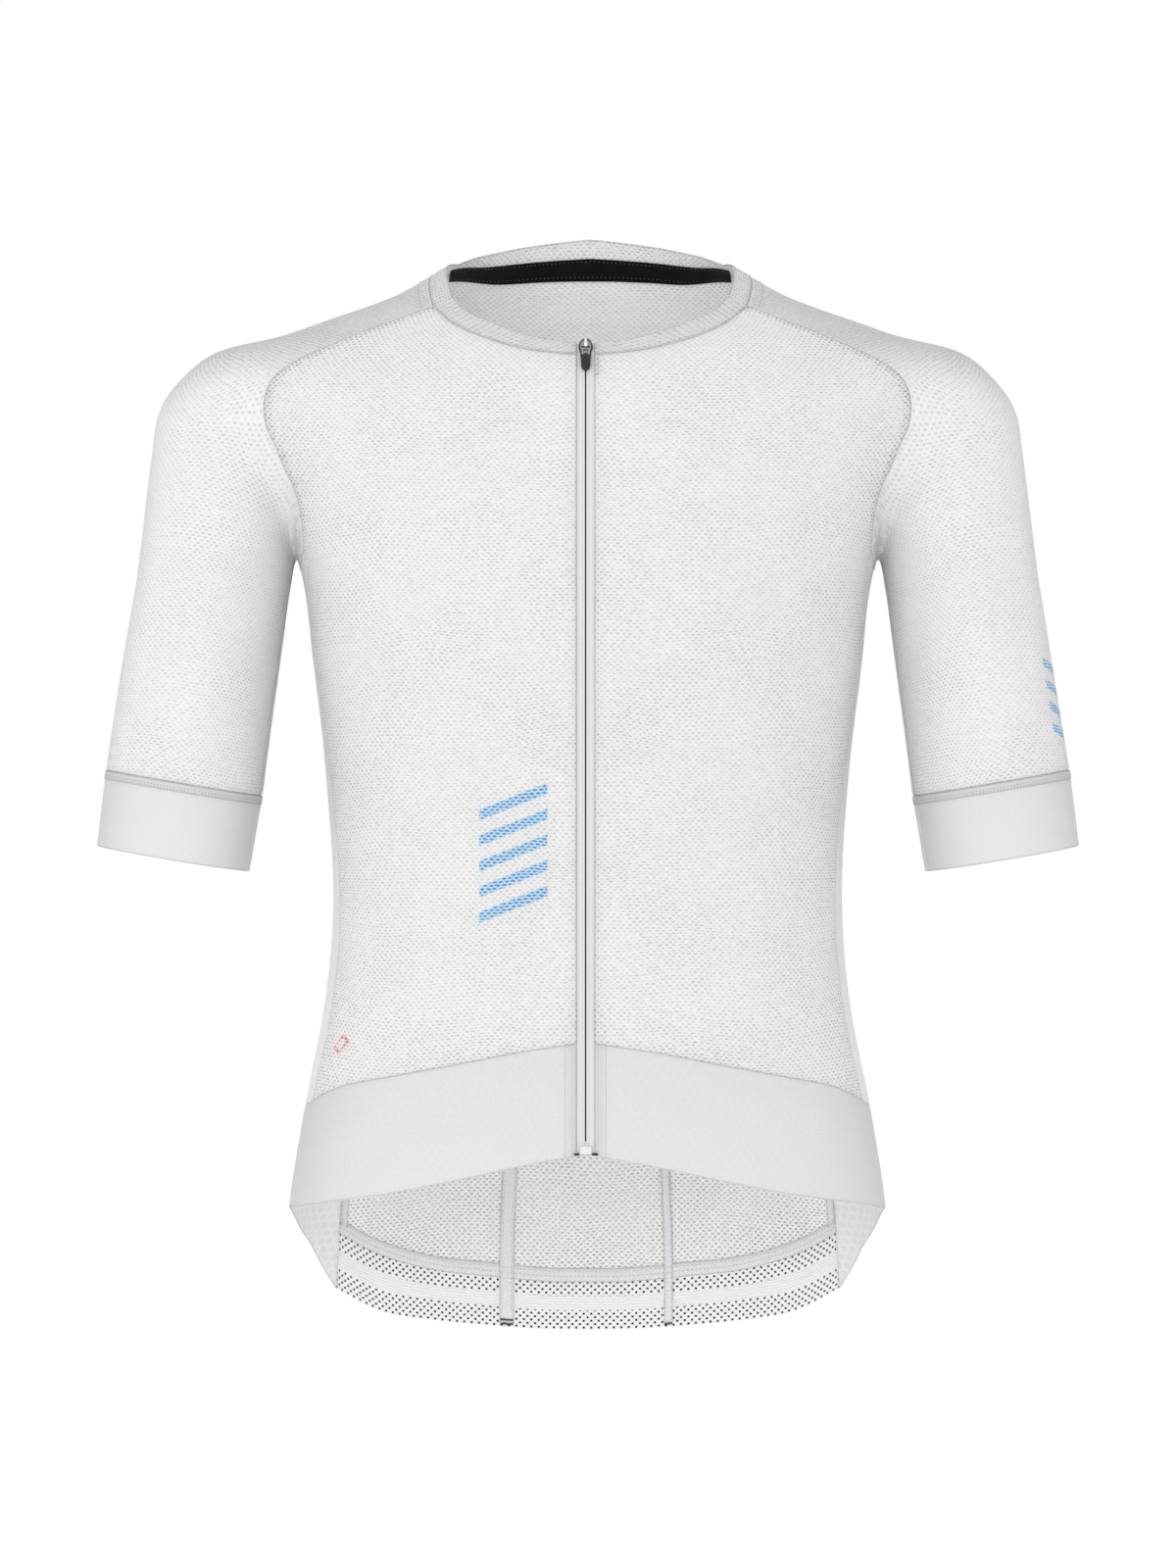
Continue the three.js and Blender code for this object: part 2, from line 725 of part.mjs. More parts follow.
// The middle of the back in stretches between given heights.
function middleLine(heights, steps) {
  const stations = 5;
  const stretches = steps.map((count, k) => {
    const line = Array.from({ length: stations }, (_, i) => onBack(
      [0, THREE.MathUtils.lerp(heights[k], heights[k + 1], i / (stations - 1))]));
    return seam(line, count);
  });
  return join(...stretches);
}

// Joins a half grid that ends on the middle with its mirror image.
const whole = (half) => half.map((line) => line.concat(reversed(line.slice(0, -1)).map(mirroredPoint)));

// The sleeve: rings around the arm from the cuff's seam to the armpit, then rings in
// planes that fan out about a line under the armpit, up to the armhole.
const armhole = join(reversed(underarm.slice(0, STEPS.underarm / 2 + 1)), reversed(frontRaglan),
  collarSideSeam, backRaglan, reversed(underarm.slice(STEPS.underarm / 2))).slice(0, -1);

const aroundArm = (across, turn) => across.clone().multiplyScalar(Math.cos(turn))
  .addScaledVector(point(0, -1, 0), Math.sin(turn));

function fanPlane(lift) {
  const up = point(Math.cos(lift), 0, Math.sin(lift));
  const middle = FAN_LINE.clone().addScaledVector(up, FAN_REACH + FAN_REACH_GROWTH * lift);
  return { middle, inward: up.negate() };
}

function fanPoint(lift, turn) {
  const { middle, inward } = fanPlane(lift);
  return meet(middle, aroundArm(inward, turn));
}

const fanPlaces = armhole.map((p) => {
  const lift = Math.atan2(p.z - FAN_LINE.z, p.x - FAN_LINE.x);
  const { middle, inward } = fanPlane(lift);
  const reach = p.clone().sub(middle);
  const turn = Math.atan2(-reach.y, reach.dot(inward));
  return { lift, turn: turn < -1e-3 ? turn + 2 * Math.PI : turn };
});

// A ring around the arm in a slanted plane, from its heights outside and inside.
function armRing(outerZ, innerZ) {
  const share = (ARM_TOP.z - (outerZ + innerZ) / 2) / (ARM_TOP.z - ARM_END.z);
  const middle = ARM_TOP.clone().lerp(ARM_END, share);
  const across = point(-CUFF_WIDE, 0, innerZ - outerZ).normalize();
  return fanPlaces.map(({ turn }) => meet(middle, aroundArm(across, turn)));
}

// Rings between two heights, each given outside and inside the arm.
const armRings = (low, high, steps) => Array.from({ length: steps + 1 }, (_, k) => armRing(
  THREE.MathUtils.lerp(low[0], high[0], k / steps), THREE.MathUtils.lerp(low[1], high[1], k / steps)));

const cuffSeam = CUFF_HEM.map((z) => z + CUFF_DEEP);
const cuffGrid = armRings(CUFF_HEM, cuffSeam, STEPS.cuffDeep);
const fanRings = Array.from({ length: STEPS.shoulder }, (_, k) => fanPlaces.map(
  ({ lift, turn }) => fanPoint(lift * k / STEPS.shoulder, turn)));
const sleeveGrid = [...armRings(cuffSeam, [FAN_LINE.z, FAN_LINE.z], STEPS.sleeve).slice(0, -1),
  ...fanRings, armhole];

const neckTapeHalf = patch(
  seam(NECK_TAPE_FOOT.map(seenInBack), NECK_TAPE_STEPS),
  seam(NECK_TAPE_TOP.map(seenInBack), NECK_TAPE_STEPS),
  seam([seenInBack(NECK_TAPE_FOOT[0]), seenInBack(NECK_TAPE_TOP[0])], 2),
  seam([seenInBack(NECK_TAPE_FOOT.at(-1)), seenInBack(NECK_TAPE_TOP.at(-1))], 2),
);

const backGrid = whole(backHalf);

// The zip's tapes lie behind the edges of the front, the coil behind the tapes.
const collarEnd = seam([collarFrontSeam[0], collarFrontEdge[0]], STEPS.collarDeep);
const zipEdge = join(zipBand, zipFront, collarEnd);
const beside = (x, z) => meet(point(x, -CLEAR_OF_FIGURE, z), point(0, 1, 0));
const tapeGrid = zipEdge.map((p, j) => {
  const isOpen = j >= zipEdge.length - STEPS.collarDeep;
  return [isOpen ? TAPE_OPEN_X : TAPE_INNER_X, ZIP_SIDE, TAPE_OUTER_X].map((x) => beside(x, p.z));
});
const coilSides = [-COIL_WIDE / 2, COIL_WIDE / 2];
const coilGrid = zipEdge.slice(1, -1).map((p) => coilSides.map((x) => beside(x, p.z)));

const garment = new THREE.Group();

function addPiece(name, geometry, color, roughness = 0.85, metalness = 0) {
  const mesh = new THREE.Mesh(geometry, new THREE.MeshStandardMaterial({ color, roughness, metalness }));
  mesh.name = name;
  garment.add(mesh);
}

function addBothSides(name, grid, color, options = {}) {
  const trimmedGrid = trimmed(grid, options.isTube);
  addPiece(`${name}_left`, wall(trimmedGrid, options), color);
  addPiece(`${name}_right`, wall(mirrored(trimmedGrid), options), color);
}

// A solid from a box given by its low and high corner.
function block([x1, y1, z1], [x2, y2, z2]) {
  const box = new THREE.BoxGeometry(x2 - x1, y2 - y1, z2 - z1);
  return solidOf(box.translate((x1 + x2) / 2, (y1 + y2) / 2, (z1 + z2) / 2));
}

function solidOf(geometry) {
  geometry.deleteAttribute('normal');
  geometry.deleteAttribute('uv');
  const merged = mergeVertices(geometry);
  return new wasm.Manifold(new wasm.Mesh({
    numProp: 3,
    vertProperties: new Float32Array(merged.attributes.position.array),
    triVerts: new Uint32Array(merged.index.array),
  }));
}

function geometryOf(solid) {
  const { vertProperties, triVerts } = solid.getMesh();
  const geometry = new THREE.BufferGeometry();
  geometry.setAttribute('position', new THREE.BufferAttribute(vertProperties, 3));
  geometry.setIndex(Array.from(triVerts));
  return geometry;
}

// Hardware on the zip, in a group whose Y runs up the zip and whose Z stands out.
function addHead(name, seenZ, blocks, color, metalness) {
  const group = new THREE.Group();
  const place = seenInFront([0, seenZ]);
  const out = outward(place).setX(0).normalize();
  const up = out.clone().cross(point(1, 0, 0));
  group.position.copy(place);
  group.quaternion.setFromRotationMatrix(new THREE.Matrix4().makeBasis(point(1, 0, 0), up, out));
  const solid = blocks.map(([low, high]) => block(low, high)).reduce((all, next) => all.add(next));
  const material = new THREE.MeshStandardMaterial({ color, roughness: 0.35, metalness });
  const mesh = new THREE.Mesh(geometryOf(solid), material);
  mesh.name = name;
  group.add(mesh);
  garment.add(group);
  return group;
}

// The pull tab hangs on a bar through the slider's bridge.
function addPull(group) {
  const { barTop, barFoot, eyeHalf, neckHalf, half, shoulder, eyeEnd, end, thick } = PULL;
  const outline = new THREE.Shape();
  outline.moveTo(-neckHalf, barTop);
  outline.lineTo(-neckHalf, shoulder + half - neckHalf);
  outline.lineTo(-half, shoulder);
  outline.absarc(0, end + half, half, Math.PI, 2 * Math.PI, false);
  outline.lineTo(half, shoulder);
  outline.lineTo(neckHalf, shoulder + half - neckHalf);
  outline.lineTo(neckHalf, barTop);
  const eye = new THREE.Path();
  eye.moveTo(-eyeHalf, barFoot);
  eye.lineTo(eyeHalf, barFoot);
  eye.lineTo(eyeHalf, eyeEnd);
  eye.lineTo(-eyeHalf, eyeEnd);
  outline.holes.push(eye);
  const settings = { depth: thick, bevelEnabled: false, curveSegments: 8 };
  const geometry = new THREE.ExtrudeGeometry(outline, settings);
  geometry.translate(0, 0, -thick / 2);
  const material = new THREE.MeshStandardMaterial({ color: PULL_GREY, roughness: 0.5 });
  const mesh = new THREE.Mesh(geometry, material);
  mesh.name = 'zip_pull';
  mesh.position.set(0, ...PULL_AXIS);
  mesh.rotation.x = PULL_LEAN;
  group.add(mesh);
}

addBothSides('front', frontGrid, KNIT_WHITE);
addBothSides('side', sideGrid, SMOOTH_WHITE);
addBothSides('band', bandGrid, SMOOTH_WHITE);
addBothSides('sleeve', sleeveGrid, KNIT_WHITE, { isTube: true });
addBothSides('cuff', cuffGrid, CUFF_GREY, { isTube: true });
addPiece('back', wall(trimmed(backGrid)), KNIT_WHITE);
addPiece('gripper', wall(trimmed(whole(gripperHalf))), GRIPPER_GREY);
addPiece('neckband', wall(trimmed(whole(collarHalf))), SMOOTH_WHITE);
const neckTapeOut = -CLOTH - NECK_TAPE_CLEARANCE;
addPiece('neck_tape', wall(whole(neckTapeHalf), { out: neckTapeOut, thick: TAPE_CLOTH }), TAPE_BLACK);
for (const [name, from, to] of POCKETS) {
  const grid = backGrid.slice(0, POCKET_ROWS + 1).map((line) => line.slice(from, to + 1));
  addPiece(name, wall(trimmed(grid), { out: LAYER_GAP + POCKET_CLOTH, thick: POCKET_CLOTH }), KNIT_WHITE);
}
addPiece('zip_tape_left', wall(tapeGrid, { out: TAPE_OUT, thick: TAPE_CLOTH }), ZIP_GREY);
addPiece('zip_tape_right', wall(mirrored(tapeGrid), { out: TAPE_OUT, thick: TAPE_CLOTH }), ZIP_GREY);
addPiece('zip_coil', wall(coilGrid, { out: COIL_OUT, thick: COIL_DEEP }), COIL_GREY);
addHead('zip_stop', STOP_SEEN_Z, [STOP_BLOCK], ZIP_GREY, 0);
const head = addHead('zip_slider', SLIDER_SEEN_Z, SLIDER_BLOCKS, GUNMETAL, 0.8);
addPull(head);

export default garment;
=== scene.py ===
# A short-sleeved cycling jersey with a full front zip, filled out as if worn. Sizes are
# in millimetres until a mesh is made; +Z is up, the front faces -Y, the wearer's left is +X.
import math
from functools import partialmethod

import bmesh
import bpy
import numpy as np
from mathutils import Matrix


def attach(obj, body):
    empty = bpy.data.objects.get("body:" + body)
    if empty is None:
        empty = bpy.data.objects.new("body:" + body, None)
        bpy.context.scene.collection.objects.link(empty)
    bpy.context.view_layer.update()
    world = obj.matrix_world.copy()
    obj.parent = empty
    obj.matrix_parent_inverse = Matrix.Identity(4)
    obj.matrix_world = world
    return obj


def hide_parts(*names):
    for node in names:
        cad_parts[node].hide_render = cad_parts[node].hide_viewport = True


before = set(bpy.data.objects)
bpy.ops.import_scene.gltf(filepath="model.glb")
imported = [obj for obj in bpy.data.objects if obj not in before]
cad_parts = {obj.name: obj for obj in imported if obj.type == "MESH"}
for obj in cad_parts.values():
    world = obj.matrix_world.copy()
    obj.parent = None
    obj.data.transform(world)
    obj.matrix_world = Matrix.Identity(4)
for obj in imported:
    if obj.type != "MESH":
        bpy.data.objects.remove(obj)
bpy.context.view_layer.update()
scene = bpy.context.scene


# The view: a level camera far in front of the chest, white surroundings and a wide soft
# lamp, over a plain pale floor well below the hem.
CAMERA_PLACE = (0.0015, -3.5, -0.315)
CAMERA_LENS, CAMERA_SENSOR, CAMERA_REACH = 125, 36, 100
LAMP_PLACE, LAMP_TARGET = np.array([-0.9, -3.1, 0.9]), np.array([0, 0, -0.3])
LAMP_SIZE, LAMP_WATTS = 2.2, 29
FLOOR_LEVEL, FLOOR_HALF, FLOOR_GLOW = -0.92, 6.0, 0.14


class Value:
    """A number that a material works out over the surface; sums on it add nodes."""

    def __init__(self, finish, socket):
        self.finish = finish
        self.socket = socket

    def maths(self, operation, *others):
        numbers = dict(enumerate((self, *others)))
        return self.finish.node("ShaderNodeMath", {"operation": operation}, numbers)

    def swapped(self, operation, other):
        return self.finish.node("ShaderNodeMath", {"operation": operation}, {0: other, 1: self})

    __add__ = __radd__ = partialmethod(maths, "ADD")
    __sub__ = partialmethod(maths, "SUBTRACT")
    __rsub__ = partialmethod(swapped, "SUBTRACT")
    __mul__ = __rmul__ = partialmethod(maths, "MULTIPLY")
    __truediv__ = partialmethod(maths, "DIVIDE")
    __pow__ = partialmethod(maths, "POWER")
    floor = partialmethod(maths, "FLOOR")
    part = partialmethod(maths, "FRACT")
    size = partialmethod(maths, "ABSOLUTE")
    sine = partialmethod(maths, "SINE")
    least = partialmethod(maths, "MINIMUM")

    def wave(self):
        """A wave between 0 and 1."""
        return self.sine() * 0.5 + 0.5

    def rise(self, low, high):
        """0 below low, 1 above high, smooth between."""
        return self.finish.node(
            "ShaderNodeMapRange",
            {"interpolation_type": "SMOOTHSTEP"},
            {0: self, 1: low, 2: high, 3: 0.0, 4: 1.0},
        )

    def between(self, low, high, soft):
        """1 from low to high, 0 outside, with soft sides."""
        return self.rise(low - soft, low + soft) * (1 - self.rise(high - soft, high + soft))


class Finish:
    """A material, made from nodes round one surface shader."""

    def __init__(self, name, roughness, sheen=0.0, specular=0.3, metallic=0.0, through=0.0):
        self.material = bpy.data.materials.new(name)
        self.material.use_nodes = True
        self.tree = self.material.node_tree
        self.surface = self.tree.nodes["Principled BSDF"]
        self.set("Roughness", roughness)
        self.set("Sheen Weight", sheen)
        self.set("Sheen Roughness", 0.5)
        self.set("Specular IOR Level", specular)
        self.set("Metallic", metallic)
        if through:
            self.let_light_through(through)

    def set(self, name, value):
        self.surface.inputs[name].default_value = value

    def let_light_through(self, share):
        """Thin cloth passes on a share of the light that falls on its other face."""
        behind = self.tree.nodes.new("ShaderNodeBsdfTranslucent")
        behind.inputs["Color"].default_value = (0.97, 0.97, 0.97, 1)
        self.both = self.tree.nodes.new("ShaderNodeMixShader")
        self.both.inputs["Fac"].default_value = share
        shown = self.tree.nodes["Material Output"].inputs["Surface"]
        self.tree.links.new(self.surface.outputs[0], self.both.inputs[1])
        self.tree.links.new(behind.outputs[0], self.both.inputs[2])
        self.tree.links.new(self.both.outputs[0], shown)

    def node(self, kind, settings=None, sockets=None, output=0):
        made = self.tree.nodes.new(kind)
        for name, value in (settings or {}).items():
            setattr(made, name, value)
        for key, value in (sockets or {}).items():
            if isinstance(value, Value):
                self.tree.links.new(value.socket, made.inputs[key])
            else:
                made.inputs[key].default_value = value
        return Value(self, made.outputs[output])

    def read(self, name):
        return self.node("ShaderNodeAttribute", {"attribute_name": name}, output="Fac")

    def joined(self, x, y):
        return self.node("ShaderNodeCombineXYZ", {}, {0: x, 1: y, 2: 0.0})

    def mix(self, share, first, second):
        colours = [c if isinstance(c, Value) else (*c, 1.0) for c in (first, second)]
        sockets = {0: share, 6: colours[0], 7: colours[1]}
        return self.node("ShaderNodeMix", {"data_type": "RGBA"}, sockets, output=2)

    def noise(self, vector, scale, detail=2.0, roughness=0.5):
        sockets = {"Vector": vector, "Scale": scale, "Detail": detail, "Roughness": roughness}
        return self.node("ShaderNodeTexNoise", {}, sockets)

    def wear(self, colour, height, depth, through=None):
        """Joins colour, relief and the share of light passed on; depth is in metres."""
        relief = {"Strength": 1.0, "Distance": depth, "Height": height}
        bump = self.node("ShaderNodeBump", {}, relief)
        self.tree.links.new(colour.socket, self.surface.inputs["Base Color"])
        self.tree.links.new(bump.socket, self.surface.inputs["Normal"])
        if through is not None:
            self.tree.links.new(through.socket, self.both.inputs["Fac"])
        return self


def colour(red, green, blue):
    """A colour as it is seen, from 0 to 255 each, as the shader takes it."""
    shares = [c / 255 for c in (red, green, blue)]
    return tuple(s / 12.92 if s <= 0.04045 else ((s + 0.055) / 1.055) ** 2.4 for s in shares)


def grained(name, roughness, dark, light, grain=1500.0, **settings):
    """A finish whose tone and relief wander between two tones."""
    finish = Finish(name, roughness, **settings)
    wander = finish.noise(finish.node("ShaderNodeTexCoord", {}, {}, "Object"), grain)
    return finish.wear(finish.mix(wander.rise(0.3, 0.7), dark, light), wander, 0.00004)


view = bpy.data.objects.new("view", bpy.data.cameras.new("view"))
view.data.lens = CAMERA_LENS
view.data.sensor_width = CAMERA_SENSOR
view.data.clip_end = CAMERA_REACH
view.location = CAMERA_PLACE
view.rotation_euler = (math.pi / 2, 0, 0)
scene.collection.objects.link(view)
scene.camera = view

world = bpy.data.worlds.new("white surroundings")
world.use_nodes = True
world.node_tree.nodes["Background"].inputs["Color"].default_value = (1, 1, 1, 1)
world.node_tree.nodes["Background"].inputs["Strength"].default_value = 1.0
scene.world = world
scene.view_settings.view_transform = "Standard"

light = bpy.data.lights.new("front_lamp", "AREA")
light.shape = "RECTANGLE"
light.size = light.size_y = LAMP_SIZE
light.energy = LAMP_WATTS
lamp = bpy.data.objects.new("front_lamp", light)
lamp.location = LAMP_PLACE
lamp_x, lamp_y, lamp_z = LAMP_PLACE - LAMP_TARGET
lamp_lean = math.atan2(math.hypot(lamp_x, lamp_y), lamp_z)
lamp.rotation_euler = (lamp_lean, 0, math.atan2(lamp_x, -lamp_y))
scene.collection.objects.link(lamp)

floor_mesh = bpy.data.meshes.new("floor")
around_floor = ((-1, -1), (1, -1), (1, 1), (-1, 1))
floor_corners = [(x * FLOOR_HALF, y * FLOOR_HALF, FLOOR_LEVEL) for x, y in around_floor]
floor_mesh.from_pydata(floor_corners, [], [(0, 1, 2, 3)])
floor = bpy.data.objects.new("floor", floor_mesh)
scene.collection.objects.link(floor)
floor_finish = grained("pale floor", 0.9, [0.93] * 3, [0.95] * 3, grain=3.0, specular=0.1)
floor_finish.set("Emission Color", (1, 1, 1, 1))
floor_finish.set("Emission Strength", FLOOR_GLOW)
floor_mesh.materials.append(floor_finish.material)


# Front panels: open knit mesh, cut as a right and a left half with a raglan shoulder and
# sewn to the zip, the neckband, the sleeves, the sides and the hem band. The cloth lies on
# the form of a general wearer, which the tables give as for every other piece.
TRUNK = [
    # level, half width, depth in front, depth behind, middle, power
    (-700, 196.0, 117.0, 125.0, 0, 2.3),
    (-640, 195.0, 117.0, 124.0, 0, 2.3),
    (-583, 191.3, 116.0, 120.0, 0, 2.3),
    (-520, 181.0, 113.0, 112.0, 0, 2.3),
    (-460, 169.5, 110.0, 103.0, 0, 2.3),
    (-394, 163.4, 109.0, 98.0, 0, 2.3),
    (-310, 167.6, 113.0, 104.0, 0, 2.3),
    (-240, 175.6, 118.0, 113.0, 0, 2.3),
    (-180, 183.5, 118.5, 119.5, 0, 2.3),
    (-130, 200.0, 114.0, 121.0, 0, 2.3),
    (-90, 224.0, 106.0, 119.0, 0, 2.3),
    (-62, 240.0, 98.0, 114.0, 0, 2.3),
    (-40, 226.0, 87.0, 106.0, 2, 2.2),
    (-20, 177.0, 76.0, 95.0, 6, 2.15),
    (-10, 149.0, 71.0, 87.0, 9, 2.1),
    (0, 124.5, 66.0, 80.0, 12, 2.1),
    (10, 107.5, 59.5, 73.0, 14, 2.1),
    (20, 91.0, 53.0, 68.0, 16, 2.1),
    (40, 75.0, 48.0, 62.0, 18, 2.1),
    (60, 70.0, 44.0, 58.0, 18, 2.1),
]
ARM_TOP = np.array([227.6, 6.0, -94.0])
ARM_END = np.array([265.8, -18.0, -368.0])
ARM_SHARES = (-0.5, 0, 0.15, 0.35, 0.55, 0.8, 1.0, 1.5)
ARM_HALVES = (51.0, 51.0, 50.5, 49.0, 49.8, 50.8, 49.2, 49.2)
ARM_DEEP, ARM_ROUND = 1.12, 50
# The crest of the shoulder along the arm's axis: its place at the arm, and its slope.
CREST_PLACE, CREST_SLOPE = -53, 0.53
# How far down the arm the sleeve's rows of holes leave the shoulder's round.
BELOW_SHOULDER = (30, 90)
ARMPIT_BLEND, SHOULDER_BLEND = 5, 29
BLEND_LEVELS = (-165, -95)
EYE = np.array([1.5, -3500.0, -315.0])
# Where lines that look for the form start, and how they step, reach and close in on it.
CLEAR_OF_FIGURE, INSIDE_TRUNK = 190, 60
MEET_STEP, MEET_REACH, MEET_HALVINGS = 3.0, 400, 20
SETTLE_ROUNDS = 7
CURVE_POINTS = 241
ZIP_SIDE = 5.9
COLLAR_FRONT_SEAM = [(ZIP_SIDE, -39), (24, -37.3), (44, -34), (65, -28.2), (87, -19), (101, -8)]
FRONT_RAGLAN = [
    # x, z as seen in front
    (101, -8), (107, -9.5), (123, -15.5), (149, -25), (168, -33), (189, -43), (201, -52),
    (206.5, -62), (208, -75), (206, -86), (201, -97), (194.5, -113), (187.5, -130),
    (184, -150), (183, -165),
]
FRONT_SIDE_SEAM = [
    # y, z
    (-28, -200), (-26, -240), (-28, -300), (-33, -350), (-36, -420), (-36, -470),
    (-34, -517),
]
BAND_FRONT_TOP = [(ZIP_SIDE, -482), (45, -488), (87, -496), (129, -503.5), (157, -509)]
# Samples along each stretch of seam, and how much finer the cloth is than that.
STEPS = {
    "collar_front": 8, "collar_side": 4, "collar_inner": 3, "collar_outer": 5, "raglan": 12,
    "underarm": 4, "side": 11, "band_upper": 2, "gripper": 2, "collar_deep": 2,
    "cuff_deep": 3, "sleeve": 5, "shoulder": 9,
}
FINE = 6
CREASES = [
    # x1, y1, z1, x2, y2, z2, width, depth
    (150, -60, -322, 172, -20, -352, 9, 1.6),
    (140, -75, -405, 166, -30, -418, 8, 1.2),
    (172, -45, -182, 120, -95, -215, 11, 1.5),
    (-172, -45, -182, -122, -95, -212, 11, 1.4),
    (-168, -40, -330, -140, -75, -362, 10, 1.0),
    (20, -112, -300, 16, -110, -470, 9, 0.9),
    (-20, -112, -250, -15, -110, -440, 9, 0.8),
    (250, -55, -120, 262, -60, -190, 12, 1.2),
    (-250, -55, -120, -264, -60, -200, 12, 1.3),
    (-60, 112, -520, -20, 112, -600, 12, 1.8),
    (70, 108, -560, 38, 114, -618, 12, 1.6),
    (-120, 96, -300, -40, 104, -340, 16, 1.6),
    (120, 96, -290, 50, 104, -345, 16, 1.5),
    (104, 100, -556, 66, 112, -626, 11, 1.9),
    (136, 84, -580, 104, 100, -622, 9, 1.5),
    (-142, 84, -572, -116, 100, -612, 9, 1.6),
    (-112, 100, -566, -92, 108, -612, 8, 1.2),
    (206, -52, -200, 200, -30, -262, 8, 1.0),
    (-262, -70, -196, -236, -66, -214, 7, 0.8),
]
# How far the cloth sits to the wearer's left of the zip, everywhere and more at the neck,
# and from where to where that grows: beside the zip, to the back and up to the neck.
ASIDE, ASIDE_NECK = 1.2, 1.8
ASIDE_BESIDE, ASIDE_BEHIND, ASIDE_UP = (12, 75), (-20, 30), (-70, 0)
CLOTH = 1.0
# Where the lines close to an edge lie, as shares of the first stretch.
MARGINS = (0.12, 0.42)
# How wide a cut edge rolls in, how the seam's ripple runs and fades, and the cut's rounding.
SEAM_ROLL = 1.1
RIPPLE_RUN, RIPPLE_SWAY, RIPPLE_START, RIPPLE_FADE = 1.5, 5.3, 2, 6
CUT_ROUND = 0.32
ALL_EDGES = "foot head left right"
SPINDLE_SIDES = 6
# Lengths up the cloth where the band's allowance starts to show, and where high up begins.
BAND_SHOWS, HIGH_UP = (545, 580), (400, 600)
# The least side of a sheet, and the least share of its rectangle that is cloth.
LEAST_SIDE, LEAST_SHARE = 0.0101, 0.301
MIRROR = np.array([-1, 1, 1])
SIDES = (("left", np.array([1, 1, 1])), ("right", MIRROR))


def smooth_table(rows):
    """A smooth reading of a table whose first column rises."""
    rows = np.array(rows, float)
    keys = rows[:, 0]
    spans = np.diff(keys)
    rates = np.diff(rows, axis=0) / spans[:, None]
    slopes = np.empty_like(rows)
    slopes[0], slopes[-1] = rates[0], rates[-1]
    before, after = spans[:-1, None], spans[1:, None]
    slopes[1:-1] = (rates[:-1] * after + rates[1:] * before) / (after + before)

    def at(key):
        key = np.clip(key, keys[0], keys[-1])
        i = np.clip(np.searchsorted(keys, key, side="right") - 1, 0, len(spans) - 1)
        s = ((key - keys[i]) / spans[i])[:, None]
        span = spans[i][:, None]
        ends = (1 + 2 * s) * (1 - s) ** 2 * rows[i] + s * s * (3 - 2 * s) * rows[i + 1]
        return ends + span * (s * (1 - s) ** 2 * slopes[i] + s * s * (s - 1) * slopes[i + 1])

    return at


trunk_at = smooth_table(TRUNK)


def trunk_radial(p):
    """How far points lie from the trunk, measured from its middle."""
    _, half, front, back, middle, power = trunk_at(p[:, 2]).T
    y = p[:, 1] - middle
    depth = np.where(y < 0, front, back)
    share = (np.abs(p[:, 0] / half) ** power + np.abs(y / depth) ** power) ** (1 / power)
    return np.hypot(p[:, 0], y) * (1 - 1 / np.maximum(share, 1e-6))


def slope_of(field, p):
    moves = np.eye(3) / 2
    return np.stack([field(p + move) - field(p - move) for move in moves], axis=1)


arm_axis = (ARM_END - ARM_TOP) / np.linalg.norm(ARM_END - ARM_TOP)
arm_length = np.linalg.norm(ARM_END - ARM_TOP)
arm_back = np.array([0, 1.0, 0]) - arm_axis[1] * arm_axis
arm_back /= np.linalg.norm(arm_back)
arm_out = np.cross(arm_back, arm_axis)
arm_out *= np.sign(arm_out[0])


def arm_distance(p):
    """How far points lie from the arm, which is a little deeper than broad."""
    reach = p - ARM_TOP
    reach[:, 0] = np.abs(p[:, 0]) - ARM_TOP[0]
    down = np.maximum(reach @ arm_axis, 0)
    across = reach - down[:, None] * arm_axis
    across += ((across @ arm_back) * (1 / ARM_DEEP - 1))[:, None] * arm_back
    return np.linalg.norm(across, axis=1) - np.interp(down / arm_length, ARM_SHARES, ARM_HALVES)


def smooth_step(low, high, value):
    """0 below low, 1 above high, smooth between, on arrays."""
    share = np.clip((value - low) / (high - low), 0, 1)
    return share * share * (3 - 2 * share)


def figure(p):
    """Below zero inside the wearer's form, above zero outside."""
    trunk = trunk_radial(p) / np.maximum(np.linalg.norm(slope_of(trunk_radial, p), axis=1), 0.3)
    arm = arm_distance(p)
    blend = ARMPIT_BLEND + (SHOULDER_BLEND - ARMPIT_BLEND) * smooth_step(*BLEND_LEVELS, p[:, 2])
    share = np.clip(0.5 + 0.5 * (arm - trunk) / blend, 0, 1)
    return arm * (1 - share) + trunk * share - blend * share * (1 - share)


def outward(p):
    """The way straight out from the form."""
    slope = slope_of(figure, p)
    return slope / np.linalg.norm(slope, axis=1)[:, None]


def settle(p):
    """Points moved onto the form, straight in or out."""
    for _ in range(SETTLE_ROUNDS):
        slope = slope_of(figure, p)
        p = p - slope * (figure(p) / np.maximum((slope * slope).sum(axis=1), 0.2))[:, None]
    return p


def meet(starts, ways):
    """Where lines from these starts first cross the form."""
    ways = ways / np.linalg.norm(ways, axis=1)[:, None]
    inside = figure(starts) < 0
    near, far = np.zeros(len(starts)), np.full(len(starts), MEET_STEP)
    running = np.ones(len(starts), bool)
    while running.any() and far.max() < MEET_REACH:
        where = np.flatnonzero(running)
        crossed = (figure(starts[where] + ways[where] * far[where, None]) < 0) != inside[where]
        running[where[crossed]] = False
        near[where[~crossed]] = far[where[~crossed]]
        far[where[~crossed]] += MEET_STEP
    for _ in range(MEET_HALVINGS):
        middle = (near + far) / 2
        crossed = (figure(starts + ways * middle[:, None]) < 0) != inside
        far = np.where(crossed, middle, far)
        near = np.where(crossed, near, middle)
    return starts + ways * ((near + far) / 2)[:, None]


